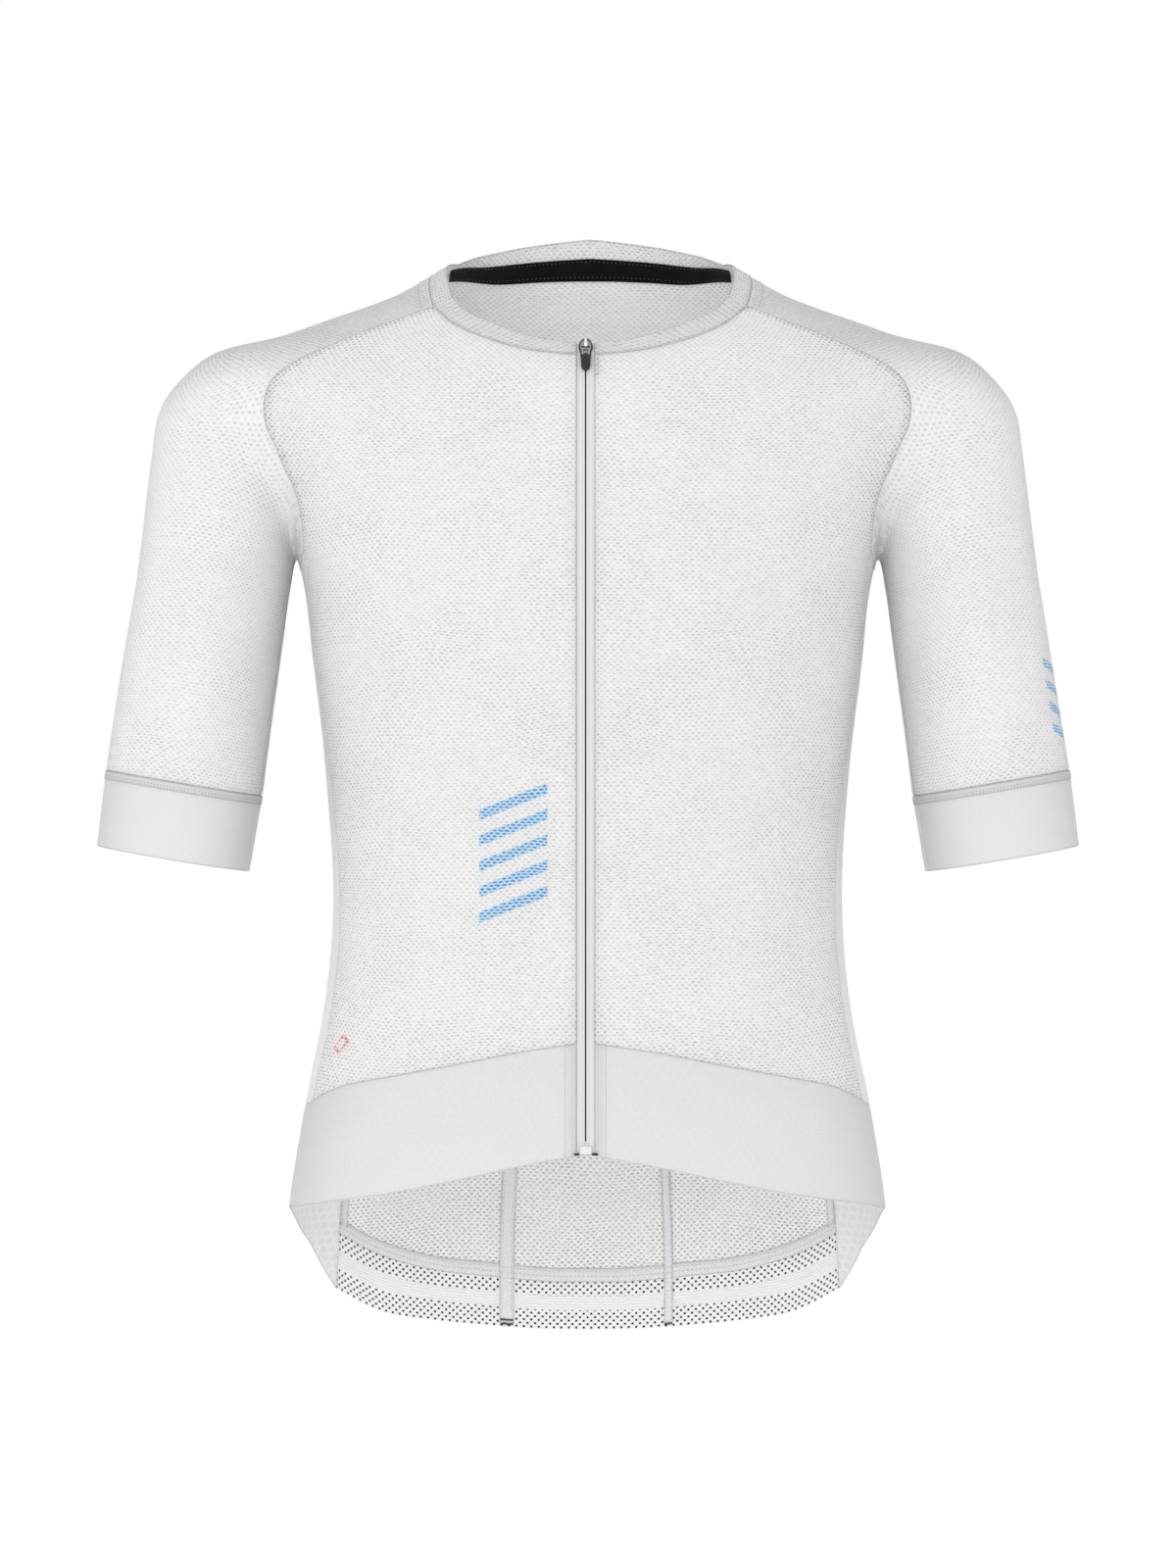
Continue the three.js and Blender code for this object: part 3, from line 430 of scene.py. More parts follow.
def as_seen(points, side=-1):
    """Points on the form from x and z as the camera sees them; side 1 is its far side."""
    ways = np.array([(x, 0, z) for x, z in points], float) - EYE
    reach = np.linalg.norm(ways, axis=1)[:, None]
    return meet(EYE + ways * (1 + side * CLEAR_OF_FIGURE / reach), -side * ways)


def straight_from(starts, way):
    """Points on the form where lines from these starts, all the same way, meet it."""
    return meet(np.array(starts, float), np.tile(way, (len(starts), 1)))


def on_back(points):
    return straight_from([(x, CLEAR_OF_FIGURE, z) for x, z in points], [0, -1.0, 0])


def on_front(points):
    return straight_from([(x, -CLEAR_OF_FIGURE, z) for x, z in points], [0, 1.0, 0])


def on_side(points):
    return straight_from([(INSIDE_TRUNK, y, z) for y, z in points], [1.0, 0, 0])


def lengths(run):
    """How far along a line, or along each line of a grid, every point lies."""
    steps = np.linalg.norm(np.diff(run, axis=0), axis=-1)
    return np.concatenate([np.zeros_like(steps[:1]), np.cumsum(steps, axis=0)])


def spaced(run, places):
    """Points at these lengths along a line."""
    keys = lengths(run)
    return np.stack([np.interp(places, keys, run[:, axis]) for axis in range(3)], axis=1)


def seam(points, steps):
    """Evenly spaced points on a smooth curve through the given ones, on the form."""
    points = np.array(points, float)
    keys = lengths(points)
    places = np.linspace(0, keys[-1], CURVE_POINTS)
    curve = smooth_table(np.column_stack([keys, points]))(places)[:, 1:]
    return settle(spaced(curve, np.linspace(0, lengths(curve)[-1], steps * FINE + 1)))


def join(first, *runs):
    """Lines that meet end to start, as one line."""
    return np.concatenate([first, *[run[1:] for run in runs]])


def patch(bottom, top, left, right):
    """A grid of points between four seams that meet at its corners; rows run up."""
    u = np.linspace(0, 1, len(bottom))[None, :, None]
    v = np.linspace(0, 1, len(left))[:, None, None]
    foot, head = (run[0] * (1 - u) + run[-1] * u for run in (bottom, top))
    grid = bottom[None] * (1 - v) + top[None] * v + left[:, None] * (1 - u) + right[:, None] * u
    grid -= foot * (1 - v) + head * v
    inner = grid[1:-1, 1:-1]
    grid[1:-1, 1:-1] = settle(inner.reshape(-1, 3)).reshape(inner.shape)
    grid[0], grid[-1], grid[:, 0], grid[:, -1] = bottom, top, left, right
    return grid


def crease_at(p):
    """Height of the soft creases, and of the cloth's slight unevenness."""
    x, y, z = p.T
    height = 0.35 * np.sin(z / 31 + x / 47) * np.sin(x / 29 - z / 83 + y / 37)
    for x1, y1, z1, x2, y2, z2, width, depth in CREASES:
        start, along = np.array([x1, y1, z1]), np.array([x2 - x1, y2 - y1, z2 - z1], float)
        share = np.clip((p - start) @ along / (along @ along), 0, 1)
        away = np.linalg.norm(p - start - share[:, None] * along, axis=1)
        height -= depth * np.sin(math.pi * (0.15 + 0.7 * share)) * np.exp(-((away / width) ** 2))
    return height


def with_margins(grid):
    """Adds lines close to all four edges, so that the cloth can roll into its seams."""
    for _ in range(2):
        near = [grid[0] * (1 - s) + grid[1] * s for s in MARGINS]
        far = [grid[-2] * s + grid[-1] * (1 - s) for s in MARGINS[::-1]]
        grid = np.concatenate([grid[:1], near, grid[1:-1], far, grid[-1:]]).swapaxes(0, 1)
    return grid


def set_aside(p):
    """Points moved to the wearer's left, except close to the zip."""
    x, y, z = p.T
    share = np.maximum(smooth_step(*ASIDE_BESIDE, np.abs(x)), smooth_step(*ASIDE_BEHIND, y))
    return p + np.outer(share * (ASIDE + ASIDE_NECK * smooth_step(*ASIDE_UP, z)), [1, 0, 0])


def make_piece(name, places, faces, finishes):
    """An object from points in millimetres and an array of faces with the same corners."""
    mesh = bpy.data.meshes.new(name)
    mesh.vertices.add(len(places))
    mesh.vertices.foreach_set("co", (set_aside(places) / 1000).astype(np.float32).ravel())
    mesh.loops.add(faces.size)
    mesh.loops.foreach_set("vertex_index", faces.astype(np.int32).ravel())
    mesh.polygons.add(len(faces))
    loop_starts = np.arange(0, faces.size, faces.shape[1], dtype=np.int32)
    mesh.polygons.foreach_set("loop_start", loop_starts)
    mesh.polygons.foreach_set("use_smooth", np.ones(len(faces), bool))
    for finish in finishes:
        mesh.materials.append(finish.material)
    piece = bpy.data.objects.new(name, mesh)
    scene.collection.objects.link(piece)
    return piece


# Length along the middle of the front, from its levels.
level_steps = np.arange(-720.0, 61.0, 4.0)
level_middle = trunk_at(level_steps)
level_along = lengths(np.column_stack([level_steps, level_middle[:, 4] - level_middle[:, 2]]))


def sleeve_lie(grid):
    """Across and along a sleeve's threads, which run evenly on over the shoulder."""
    reach = np.stack([np.abs(grid[..., 0]), grid[..., 1], grid[..., 2]], axis=-1) - ARM_TOP
    down, side, behind = reach @ arm_axis, reach @ arm_out, np.abs(reach @ arm_back)
    below = smooth_step(*BELOW_SHOULDER, down)
    under = ARM_ROUND * math.pi / 2 - side + below * (ARM_ROUND * ARM_DEEP - behind)
    across = np.where(side > 0, ARM_ROUND * np.arctan2(behind, side), under)
    crest = CREST_PLACE + CREST_SLOPE * np.minimum(side, 0)
    level = np.where(side > 0, 1, below)
    chord = np.sqrt(behind**2 + level * side**2 + np.maximum(down - crest, 0) ** 2)
    bend = 2 * ARM_ROUND * np.arcsin(np.minimum(chord / (2 * ARM_ROUND), 1))
    straight = np.sqrt(np.maximum(chord**2 - ARM_ROUND**2, 0)) + ARM_ROUND * (math.pi / 2 - 1)
    is_bend = chord < ARM_ROUND * math.sqrt(2)
    return across, arm_length - crest - np.where(is_bend, bend, straight)


def cells_of(index):
    """The four corners of every cell in a grid of numbers."""
    corners = [index[:-1, :-1], index[:-1, 1:], index[1:, 1:], index[1:, :-1]]
    return np.stack(corners, axis=-1).reshape(-1, 4)


def rims_of(rows, columns, is_tube):
    """The places on a grid round each of its cut edges, in order."""
    foot = [(0, i) for i in range(columns)]
    head = [(rows - 1, i) for i in range(columns)][::-1]
    if is_tube:
        return [foot, head]
    right = [(j, columns - 1) for j in range(1, rows)]
    return [foot + right + head[1:] + [(j, 0) for j in range(rows - 1)][::-1]]


def cloth(
    name, grid, finishes, out=0.0, thick=CLOTH, sink=0.45, ripple=0.25, raw="",
    from_middle=False, is_tube=False, is_strip=False, is_sleeve=False,
):
    """A thin wall of cloth on a grid of points, which tells its finish where each spot
    lies in the cut: across and along it, and how far from each edge. raw names the
    edges that no seam pulls in; a strip's threads run with it, a sleeve's with the
    arm, and others' level, counted from_middle or from the left."""
    grid = with_margins(grid)
    rows, columns = grid.shape[:2]
    from_left, from_foot = lengths(grid.swapaxes(0, 1)).T, lengths(grid)
    from_right, from_head = from_left[:, -1:] - from_left, from_foot[-1:] - from_foot
    around = from_left - from_left[:, columns // 2, None]
    if is_sleeve:
        across, along = sleeve_lie(grid)
    elif is_tube or is_strip:
        across, along = around, from_foot
    else:
        across = lengths((grid * [1, 1, 0]).swapaxes(0, 1)).T
        across = across - (across[:, columns // 2, None] if from_middle else 0)
        along = np.interp(grid[..., 2], level_steps, level_along)
    flat = grid.reshape(-1, 3)
    height = out + crease_at(flat).reshape(rows, columns)
    edges = [("foot", from_foot, across), ("head", from_head, across)]
    if not is_tube:
        edges += [("left", from_left, along), ("right", from_right, along)]
    for edge, away, run in edges:
        if edge not in raw:
            wave = ripple * np.sin(run / RIPPLE_RUN + np.sin(run / RIPPLE_SWAY))
            height -= sink * np.exp(-((away / SEAM_ROLL) ** 2))
            height += wave * np.exp(-away / RIPPLE_FADE) * (1 - np.exp(-away / RIPPLE_START))
    normal = outward(flat).reshape(rows, columns, 3)
    outer = grid + normal * height[..., None]
    inner = outer - normal * thick
    wrap = columns - 1 if is_tube else columns
    index = np.arange(rows)[:, None] * wrap + np.arange(columns)[None] % wrap
    order = np.arange(rows * columns).reshape(rows, columns)
    count = rows * wrap
    places = [outer[:, :wrap].reshape(-1, 3), inner[:, :wrap].reshape(-1, 3)]
    quads = [cells_of(index), cells_of(index)[:, ::-1] + count]
    spots = [cells_of(order), cells_of(order)[:, ::-1]]
    parts = [np.zeros(len(quads[0]), int), np.ones(len(quads[0]), int)]
    start = 2 * count
    # The cut edge is rounded: a line between the two faces stands out a little.
    for rim in rims_of(rows, columns, is_tube):
        j, i = np.array(rim).T
        in_j, in_i = np.clip(j, 1, rows - 2), i if is_tube else np.clip(i, 1, columns - 2)
        way = outer[j, i] - outer[in_j, in_i]
        way /= np.maximum(np.linalg.norm(way, axis=1), 1e-9)[:, None]
        half_way = (outer[j, i] + inner[j, i]) / 2 + way * thick * CUT_ROUND
        size = len(rim) - 1
        places.append(half_way[:size])
        turn = np.arange(size)
        mid_here, mid_there = start + turn, start + (turn + 1) % size
        here, there = index[j, i][:-1], index[j, i][1:]
        spot_here, spot_there = order[j, i][:-1], order[j, i][1:]
        quads.append(np.stack([there, here, mid_here, mid_there], axis=1))
        quads.append(np.stack([mid_there, mid_here, here + count, there + count], axis=1))
        spots += [np.stack([spot_there, spot_here, spot_here, spot_there], axis=1)] * 2
        parts += [np.zeros(size, int)] * 2
        start += size
    places, quads = np.concatenate(places), np.concatenate(quads)
    spots, parts = np.concatenate(spots), np.concatenate(parts)
    j, i = rows // 2, columns // 2
    right, up = outer[j, i + 1] - outer[j, i], outer[j + 1, i] - outer[j, i]
    if np.cross(right, up) @ normal[j, i] < 0:
        quads, spots = quads[:, ::-1], spots[:, ::-1]
    piece = make_piece(name, places, quads, finishes)
    mesh = piece.data
    mesh.polygons.foreach_set("material_index", parts.astype(np.int32))
    # turned and upward, how far the cloth turns aside from the front and back and how far it faces
    # up, are read only for painted shade.
    facts = {
        "across": across, "along": along, "around": around,
        "from_foot": from_foot, "from_head": from_head,
        "from_left": from_left, "from_right": from_right,
        "turned": 1 - np.abs(normal[..., 1]), "upward": np.maximum(normal[..., 2], 0),
    }
    for key, values in facts.items():
        attribute = mesh.attributes.new(key, "FLOAT", "CORNER")
        at_corners = values.reshape(-1)[spots.ravel()]
        attribute.data.foreach_set("value", at_corners.astype(np.float32))
    mesh.update(calc_edges=True)
    mesh.validate()
    broad, tall = np.diff(grid, axis=1)[:-1], np.diff(grid, axis=0)[:, :-1]
    area = np.linalg.norm(np.cross(broad, tall), axis=2).sum() / 1e6
    width, length = from_left[:, -1].max() / 1000, from_foot[-1].max() / 1000
    piece["cut"] = [float(width), float(length), float(area)]
    return piece


def sew(piece, node):
    """The piece stands for its solid and moves with the garment."""
    width, length, area = piece["cut"]
    width, length = max(width, LEAST_SIDE), max(length, LEAST_SIDE)
    area = min(max(area, LEAST_SHARE * width * length), width * length)
    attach(piece, "garment")
    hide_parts(node)


def lines_in(grid, edge, *aways):
    """Lines on a grid that keep these distances from one of its edges."""
    runs = grid.swapaxes(0, 1) if edge in ("foot", "head") else grid
    if edge in ("head", "right"):
        runs = runs[:, ::-1]
    return [np.concatenate([spaced(run, [away]) for run in runs]) for away in aways]


def lines_beside(grid, column, *aways):
    """Lines on a grid that keep these distances from one of its columns."""
    starts = [lengths(row)[column] for row in grid]
    return [
        np.concatenate([spaced(row, [start + away]) for row, start in zip(grid, starts)])
        for away in aways
    ]


def stitches(name, runs, finish, long=1.9, gap=0.9, thick=0.34, out=0.0, slant=0.0):
    """Threads in a row along each line, each a slim closed spindle half sunk in the
    cloth; slant turns them to one side and the other in turn."""
    middles, ways, turns = [], [], []
    for run in runs:
        reach = lengths(run)[-1]
        count = max(int(reach / (long + gap)), 1)
        spots = (np.arange(count) + 0.5) * reach / count
        middles.append(spaced(run, spots))
        ways.append(spaced(run, spots + 0.2) - spaced(run, spots - 0.2))
        turns.append(np.where(np.arange(count) % 2, slant, -slant))
    middle, way = np.concatenate(middles), np.concatenate(ways)
    turn = np.concatenate(turns)[:, None]
    normal = outward(middle)
    way -= (way * normal).sum(axis=1)[:, None] * normal
    way /= np.linalg.norm(way, axis=1)[:, None]
    side = np.cross(normal, way)
    cos, sin = np.cos(turn), np.sin(turn)
    way, side = way * cos + side * sin, side * cos - way * sin
    middle = middle + normal * (out + crease_at(middle))[:, None]
    rings = [middle - way * long / 2]
    for share, swell in ((-0.36, 0.8), (0, 1.0), (0.36, 0.8)):
        for angle in np.arange(SPINDLE_SIDES) * 2 * math.pi / SPINDLE_SIDES:
            spread = side * math.cos(angle) + normal * math.sin(angle)
            rings.append(middle + way * share * long + spread * swell * thick / 2)
    rings.append(middle + way * long / 2)
    places = np.stack(rings, axis=1)
    faces = []
    tip = len(rings) - 1
    last = tip - SPINDLE_SIDES
    for k in range(SPINDLE_SIDES):
        n = (k + 1) % SPINDLE_SIDES
        faces += [[0, 1 + n, 1 + k], [tip, last + k, last + n]]
        for low in (1, 1 + SPINDLE_SIDES):
            high = low + SPINDLE_SIDES
            faces += [[low + k, low + n, high + n], [low + k, high + n, high + k]]
    faces = np.array(faces)[None] + np.arange(len(places))[:, None, None] * len(rings)
    piece = make_piece(name, places.reshape(-1, 3), faces.reshape(-1, 3), [finish])
    piece.data.update(calc_edges=True)
    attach(piece, "garment")
    return piece


def strip(name, lines, finish, out, thick=0.5, is_tube=False):
    """A narrow strip of cloth through lines that run side by side."""
    piece = cloth(
        name, np.stack(lines), [finish, finish], out=out, thick=thick, sink=0, ripple=0,
        raw=ALL_EDGES, is_tube=is_tube, is_strip=True,
    )
    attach(piece, "garment")
    return piece


def both_sides(name, grid, faces, inside, slot, held="hung", sewn_on=((), ()), **settings):
    """The wearer's left piece and its mirror image. Each has its own face, and both have
    the same finish inside; what is sewn on each is passed but not used."""
    for (side, mirror), face, with_pieces in zip(SIDES, faces, sewn_on):
        piece = cloth(f"{name}_{side}_cloth", grid * mirror, [face, inside], **settings)
        sew(piece, f"{name}_{side}")


def on_both_sides(make, name, lines, finish, **settings):
    """A strip or a row of stitches along the left side's lines, and one mirrored."""
    return [
        make(f"{name}_{side}", [line * mirror for line in lines], finish, **settings)
        for side, mirror in SIDES
    ]


def staggered(columns, rows):
    """Where a spot lies from the middle of its cell, in rows set half a cell aside."""
    shift = (rows.floor() * 0.5).part()
    return (columns + shift).part() - 0.5, rows.part() - 0.5


def nearest_edge(finish):
    foot, head, left, right = (finish.read(f"from_{edge}") for edge in ALL_EDGES.split())
    return foot.least(head).least(left).least(right)


def knit_relief(finish, pitch, row, hole_wide, hole_tall, patchy):
    """Pinholes in staggered rows with raised threads between them: the share of the
    holes, of the threads and of the cloth that takes ink, and the height. patchy is
    how far the holes differ."""
    across, along = finish.read("across"), finish.read("along")
    sway = finish.noise(finish.joined(across, along), 0.013, 1.0) - 0.5
    stray = finish.noise(finish.joined(across, along), 0.3, 1.0) - 0.5
    uneven = finish.noise(finish.joined(across * 0.5, along), 0.8, 0.0).rise(0.3, 0.62)
    rows = along / row + sway * 7 + stray * (0.75 * patchy)
    cell_x, cell_y = staggered(across / pitch + stray * 0.5, rows)
    hole_away = ((cell_x / hole_wide) ** 2 + (cell_y / hole_tall) ** 2) ** 0.5
    hole = (1 - hole_away.rise(0.45, 1.2)) * (1 - patchy + patchy * uneven)
    thread_away = ((cell_x.size() - 0.5) / 0.30) ** 2 + (cell_y / 0.34) ** 2
    thread = (1 - thread_away.rise(0.3, 1.15)) * (1 - 0.6 * uneven)
    return hole, thread, 1 - thread_away.rise(0.9, 1.9), thread * 0.6 - hole * 0.8


def knit_finish(
    name, light=0, through=0.5, pitch=4.0, row=1.95, hole_wide=0.38, hole_tall=0.33,
    hole_tone=134, patchy=0.6, open_share=0.46, high_open=0.0, high_through=0.0,
    painted_side_shade=0.08, painted_top_shade=0.0, print_at=None, painted_seam_highlight=0.0, edge_band=0.0,
):
    """White polyester mesh. It looks more open near its seams, and thin seam lines edge it;
    where it turns aside and where it faces up, painted shade greys it and darkens its holes.
    high_open and high_through open it and let more light through high up, the side and top
    shade settings set how far that painted shade reaches, the seam highlight setting paints
    a pale highlight on the seams' ridge, and edge_band is how far the seam allowance shows."""
    finish = Finish(name, 0.82, sheen=0.1, specular=0.2, through=through)
    hole, thread, takes_ink, height = knit_relief(
        finish, pitch, row, hole_wide, hole_tall, patchy
    )
    across, along = finish.read("across"), finish.read("along")
    foot, right = finish.read("from_foot"), finish.read("from_right")
    nearest = nearest_edge(finish)
    band = (1 - right.rise(5.0, 6.4)) * along.rise(*BAND_SHOWS) * edge_band
    cloud = finish.noise(finish.joined(across, along), 0.018, 3.0)
    # Painted shade: cloth that turns aside from the front and back, or faces up, is greyed and its
    # holes darkened.
    aside = finish.read("turned").rise(0.3, 0.95)
    top = finish.read("upward").rise(0.3, 0.95) * painted_top_shade
    high = along.rise(*HIGH_UP)
    near_seam = 1 - foot.least(right).rise(2, 34)
    openness = cloud.rise(0.38, 0.64) * 0.2 + near_seam * 0.14 + aside * 0.12
    openness = openness + band * 0.35 + open_share + top * 0.4 + high * high_open
    dark = hole * openness.least(1.0)
    shades = [colour(grey, grey, grey - 1) for grey in (232 + light, 238 + light)]
    body = finish.mix(cloud, *shades)
    # Painted shade on what turns aside and on what faces up.
    body = finish.mix(aside * painted_side_shade, body, colour(205, 205, 209))
    body = finish.mix(top, body, colour(190, 189, 195))
    body = finish.mix(band * 0.4, body, colour(196, 196, 200))
    body = finish.mix(thread * 0.9, body, colour(255, 255, 255))
    body = finish.mix(dark, body, colour(hole_tone, hole_tone + 1, hole_tone + 6))
    passed = (1 - dark * 0.7) * (1 - band * 0.3) * (through + high * high_through)
    for mask, ink in print_at(finish) if print_at else ():
        inked = mask * (0.22 + 0.78 * takes_ink)
        body = finish.mix(inked, body, ink)
        passed = passed * (1 - inked * 0.9)
    # Painted highlight: a pale line along the seams' raised ridge.
    body = finish.mix(nearest.between(0.6, 1.4, 0.3) * painted_seam_highlight, body, colour(252, 252, 252))
    line = 1 - nearest.rise(0.15, 0.7)
    body = finish.mix(line * 0.6, body, colour(140, 140, 146))
    height = height + nearest.rise(0, 1.4) * 0.8
    return finish.wear(body, height, 0.00035, passed * (1 - line * 0.5))


BLUE = colour(44, 150, 212)
RED = colour(206, 60, 74)


def bars(u, v, count):
    """Plain slanted bars in a block whose u and v run from 0 to 1."""
    lean = v * count + u * 1.1 - 0.4
    bar = lean.part().between(0.2, 0.62, 0.04) * lean.between(0.0, count, 0.01)
    return bar * u.between(0.02, 0.98, 0.01) * v.between(-0.1, 1.1, 0.01)


def chest_print(finish):
    """Five slanted bars low on the front, and a small red lozenge by the side seam."""
    block = bars((finish.read("across") - 17) / 46, (finish.read("along") - 326) / 80, 5)
    from_seam, up = finish.read("from_right") - 25, finish.read("from_foot") - 30
    lozenge = from_seam.size() / 9 + up.size() / 6.5
    return [(block, BLUE), (lozenge.between(0.62, 1.0, 0.06), RED)]


PALE_THREAD, SOFT_THREAD, GREY_THREAD, BLACK_THREAD = (
    grained(f"{tone} thread", 0.6, colour(*dark), colour(*light), sheen=0.2)
    for tone, dark, light in (
        ("pale", (230, 230, 231), (249, 249, 250)),
        ("soft grey", (176, 176, 180), (200, 200, 204)),
        ("grey", (126, 126, 131), (154, 154, 159)),
        ("black", (3, 3, 4), (14, 14, 15)),
    )
)
KNIT = knit_finish("knit mesh", light=8, edge_band=1.0)
# Painted light: the inside faces get a lighter copy of the mesh, to lift the shade inside the
# garment.
KNIT_INSIDE = knit_finish("knit mesh inside", light=14, through=0.2)
KNIT_PRINTED = knit_finish("knit mesh with print", light=8, edge_band=1.0, print_at=chest_print)

neck_front, arm_front = as_seen(FRONT_RAGLAN)[[0, -1]]
collar_front_seam = seam(as_seen(COLLAR_FRONT_SEAM), STEPS["collar_front"])
front_raglan = seam(as_seen(FRONT_RAGLAN), STEPS["raglan"])
front_side = seam([arm_front, *on_side(FRONT_SIDE_SEAM)], STEPS["side"])
hip_front = front_side[-1]
band_front_top = seam([*as_seen(BAND_FRONT_TOP), hip_front], STEPS["collar_front"])
zip_levels = np.linspace(band_front_top[0][2], collar_front_seam[0][2], 9)[1:-1]
zip_front = seam(
    [band_front_top[0], *on_front([(ZIP_SIDE, z) for z in zip_levels]), collar_front_seam[0]],
    STEPS["side"] + STEPS["raglan"],
)
front_outer = join(front_side[::-1], front_raglan[::-1])
front_grid = patch(band_front_top, collar_front_seam, zip_front, front_outer)
both_sides("front", front_grid, (KNIT, KNIT_PRINTED), KNIT_INSIDE, "knit", raw="left")
guard = [line[-6:] for line in lines_in(front_grid, "left", 0.2, 1.1, 2.1)]
strip("zip_guard_fold", guard, KNIT, out=0.5)


# Side panels: a plain close knit strip from the armpit down to the hem band, overlocked
# to the front and the back.
UNDERARM = [(183.5, -17, -175), (184.5, 0, -179), (183.5, 17, -175)]
BACK_RAGLAN = [
    # x, z
    (97, 14.5), (115, 2), (140, -9), (165, -20), (186, -32), (199, -44), (205, -58),
    (206, -74), (203, -90), (197, -107), (190, -126), (185, -147), (183, -165),
]
BACK_SIDE_SEAM = [
    # y, z
    (36, -200), (40, -250), (44, -300), (52, -394), (60, -460), (67, -520), (72, -570),
]
BAND_SIDE_TOP = [(-34, -517), (0, -524), (40, -545), (72, -570)]
# The silicone dots' spacing across and up, and from where to where one fades out.
DOT_PITCH, DOT_ROW, DOT_SOFT = 6.4, 5.4, (1.8, 2.4)


def smooth_finish(name, light, dark, rib=0.55, dots=0.0, through=0.25, painted_side_shade=0.45):
    """Close smooth knit with very fine courses and a faint melange; dots says how far
    the silicone dots show, and the side shade setting how far painted shade greys it
    where it turns aside."""
    finish = Finish(name, 0.7, sheen=0.12, specular=0.25, through=through)
    across, along = finish.read("across"), finish.read("along")
    nearest = nearest_edge(finish)
    melange = finish.noise(finish.joined(across * 0.35, along), 1.6, 3.0, 0.65)
    courses = (along * (2 * math.pi / rib)).wave()
    wales = (across * (2 * math.pi / (rib * 1.1))).wave()
    # Painted shade: the cloth greys where it turns aside from the front and back.
    aside = finish.read("turned").rise(0.06, 0.8)
    body = finish.mix(melange.rise(0.3, 0.7), dark, light)
    body = finish.mix(aside * painted_side_shade, body, colour(190, 190, 193))
    body = finish.mix(courses * wales * 0.12, body, colour(250, 250, 250))
    height = courses * 0.5 + wales * 0.5
    if dots:
        cell_x, cell_y = staggered(across / DOT_PITCH, along / DOT_ROW)
        x, y = cell_x * DOT_PITCH, cell_y * DOT_ROW
        dot = 1 - ((x * x + y * y) ** 0.5).rise(*DOT_SOFT)
        body = finish.mix(dot * dots, body, colour(198, 198, 206))
        height = height + dot * dots * 5
    body = finish.mix((1 - nearest.rise(0.15, 0.7)) * 0.5, body, colour(160, 160, 166))
    return finish.wear(body, height + nearest.rise(0, 1.2) * 2, 0.00012)


SMOOTH = smooth_finish(
    "smooth close knit", colour(243, 243, 244), colour(234, 234, 235), through=0.4, painted_side_shade=0.05
)

arm_back_point = on_back([BACK_RAGLAN[-1]])[0]
underarm = seam([arm_front, *settle(np.array(UNDERARM, float)), arm_back_point], STEPS["underarm"])
back_side = seam([arm_back_point, *on_side(BACK_SIDE_SEAM)], STEPS["side"])
band_side_top = seam(on_side(BAND_SIDE_TOP), STEPS["underarm"])
side_grid = patch(band_side_top, underarm, front_side[::-1], back_side[::-1])
both_sides("side", side_grid, [SMOOTH] * 2, SMOOTH, "smooth_cloth")


# Back: one piece of the same mesh, wider at the tail, with the seams that part the
# pockets covered inside by grey tape.
COLLAR_BACK_SEAM = [(97, 14.5), (84, 19), (60, 24), (32, 28), (0, 30)]
BAND_BACK_SEAM = [(72, -570), (74, -604), (75, -646)]
GRIPPER_TOP = [(142, -618), (109, -630), (54, -638), (28, -640.5), (0, -641)]
BACK_MIDDLE_Z = [-641, -606, -190, 30]
POCKET_SEAM_HEM_X, POCKET_SEAM_COLLAR_X = 54, 32


def pocket_split(points, x):
    """A back seam in two stretches that meet over the pockets' division."""
    points = np.array(points)
    split = int(np.flatnonzero(points[:, 0] <= x + 0.001)[0])
    outer = seam(points[: split + 1], STEPS["collar_outer"])
    return join(outer, seam(points[split:], STEPS["collar_inner"]))


def middle_line(heights, steps):
    """The back's middle through these heights, with so many steps between them."""
    runs = []
    for low, high, count in zip(heights, heights[1:], steps):
        runs.append(seam(on_back([(0, z) for z in np.linspace(low, high, 5)]), count))
    return join(*runs)


def whole(half):
    """A half grid that ends on the middle, with its mirror image."""
    return np.concatenate([half, (half * MIRROR)[:, -2::-1]], axis=1)


gripper_corner, hem_corner = on_side(BAND_BACK_SEAM[1:])
band_back_upper = seam([back_side[-1], gripper_corner], STEPS["band_upper"])
gripper_end = seam([gripper_corner, hem_corner], STEPS["gripper"])
gripper_top = pocket_split([gripper_corner, *on_back(GRIPPER_TOP)], POCKET_SEAM_HEM_X)
collar_back_seam = pocket_split(on_back(COLLAR_BACK_SEAM), POCKET_SEAM_COLLAR_X)
back_raglan = seam(on_back(BACK_RAGLAN), STEPS["raglan"])
back_half = patch(
    gripper_top,
    collar_back_seam,
    join(band_back_upper[::-1], back_side[::-1], back_raglan[::-1]),
    middle_line(BACK_MIDDLE_Z, [STEPS["band_upper"], STEPS["side"], STEPS["raglan"]]),
)
back_grid = whole(back_half)
OPEN_MESH = {
    "pitch": 4.2, "row": 2.1, "hole_wide": 0.28, "hole_tall": 0.34, "hole_tone": 118,
    "patchy": 0.2,
}
KNIT_BACK = knit_finish("open back mesh", light=8, **OPEN_MESH)
# Painted light: a lighter copy of the back mesh for its inside, with paler holes high up, to lift
# the shade inside the back.
KNIT_BACK_INSIDE = knit_finish(
    "open back mesh inside", light=14, through=0.12, high_through=0.16,
    open_share=0.5, high_open=-0.26, **OPEN_MESH
)
POCKET_KNIT = knit_finish("pocket mesh", light=16, **OPEN_MESH)
back = cloth("back_cloth", back_grid, [KNIT_BACK, KNIT_BACK_INSIDE], from_middle=True)
sew(back, "back")


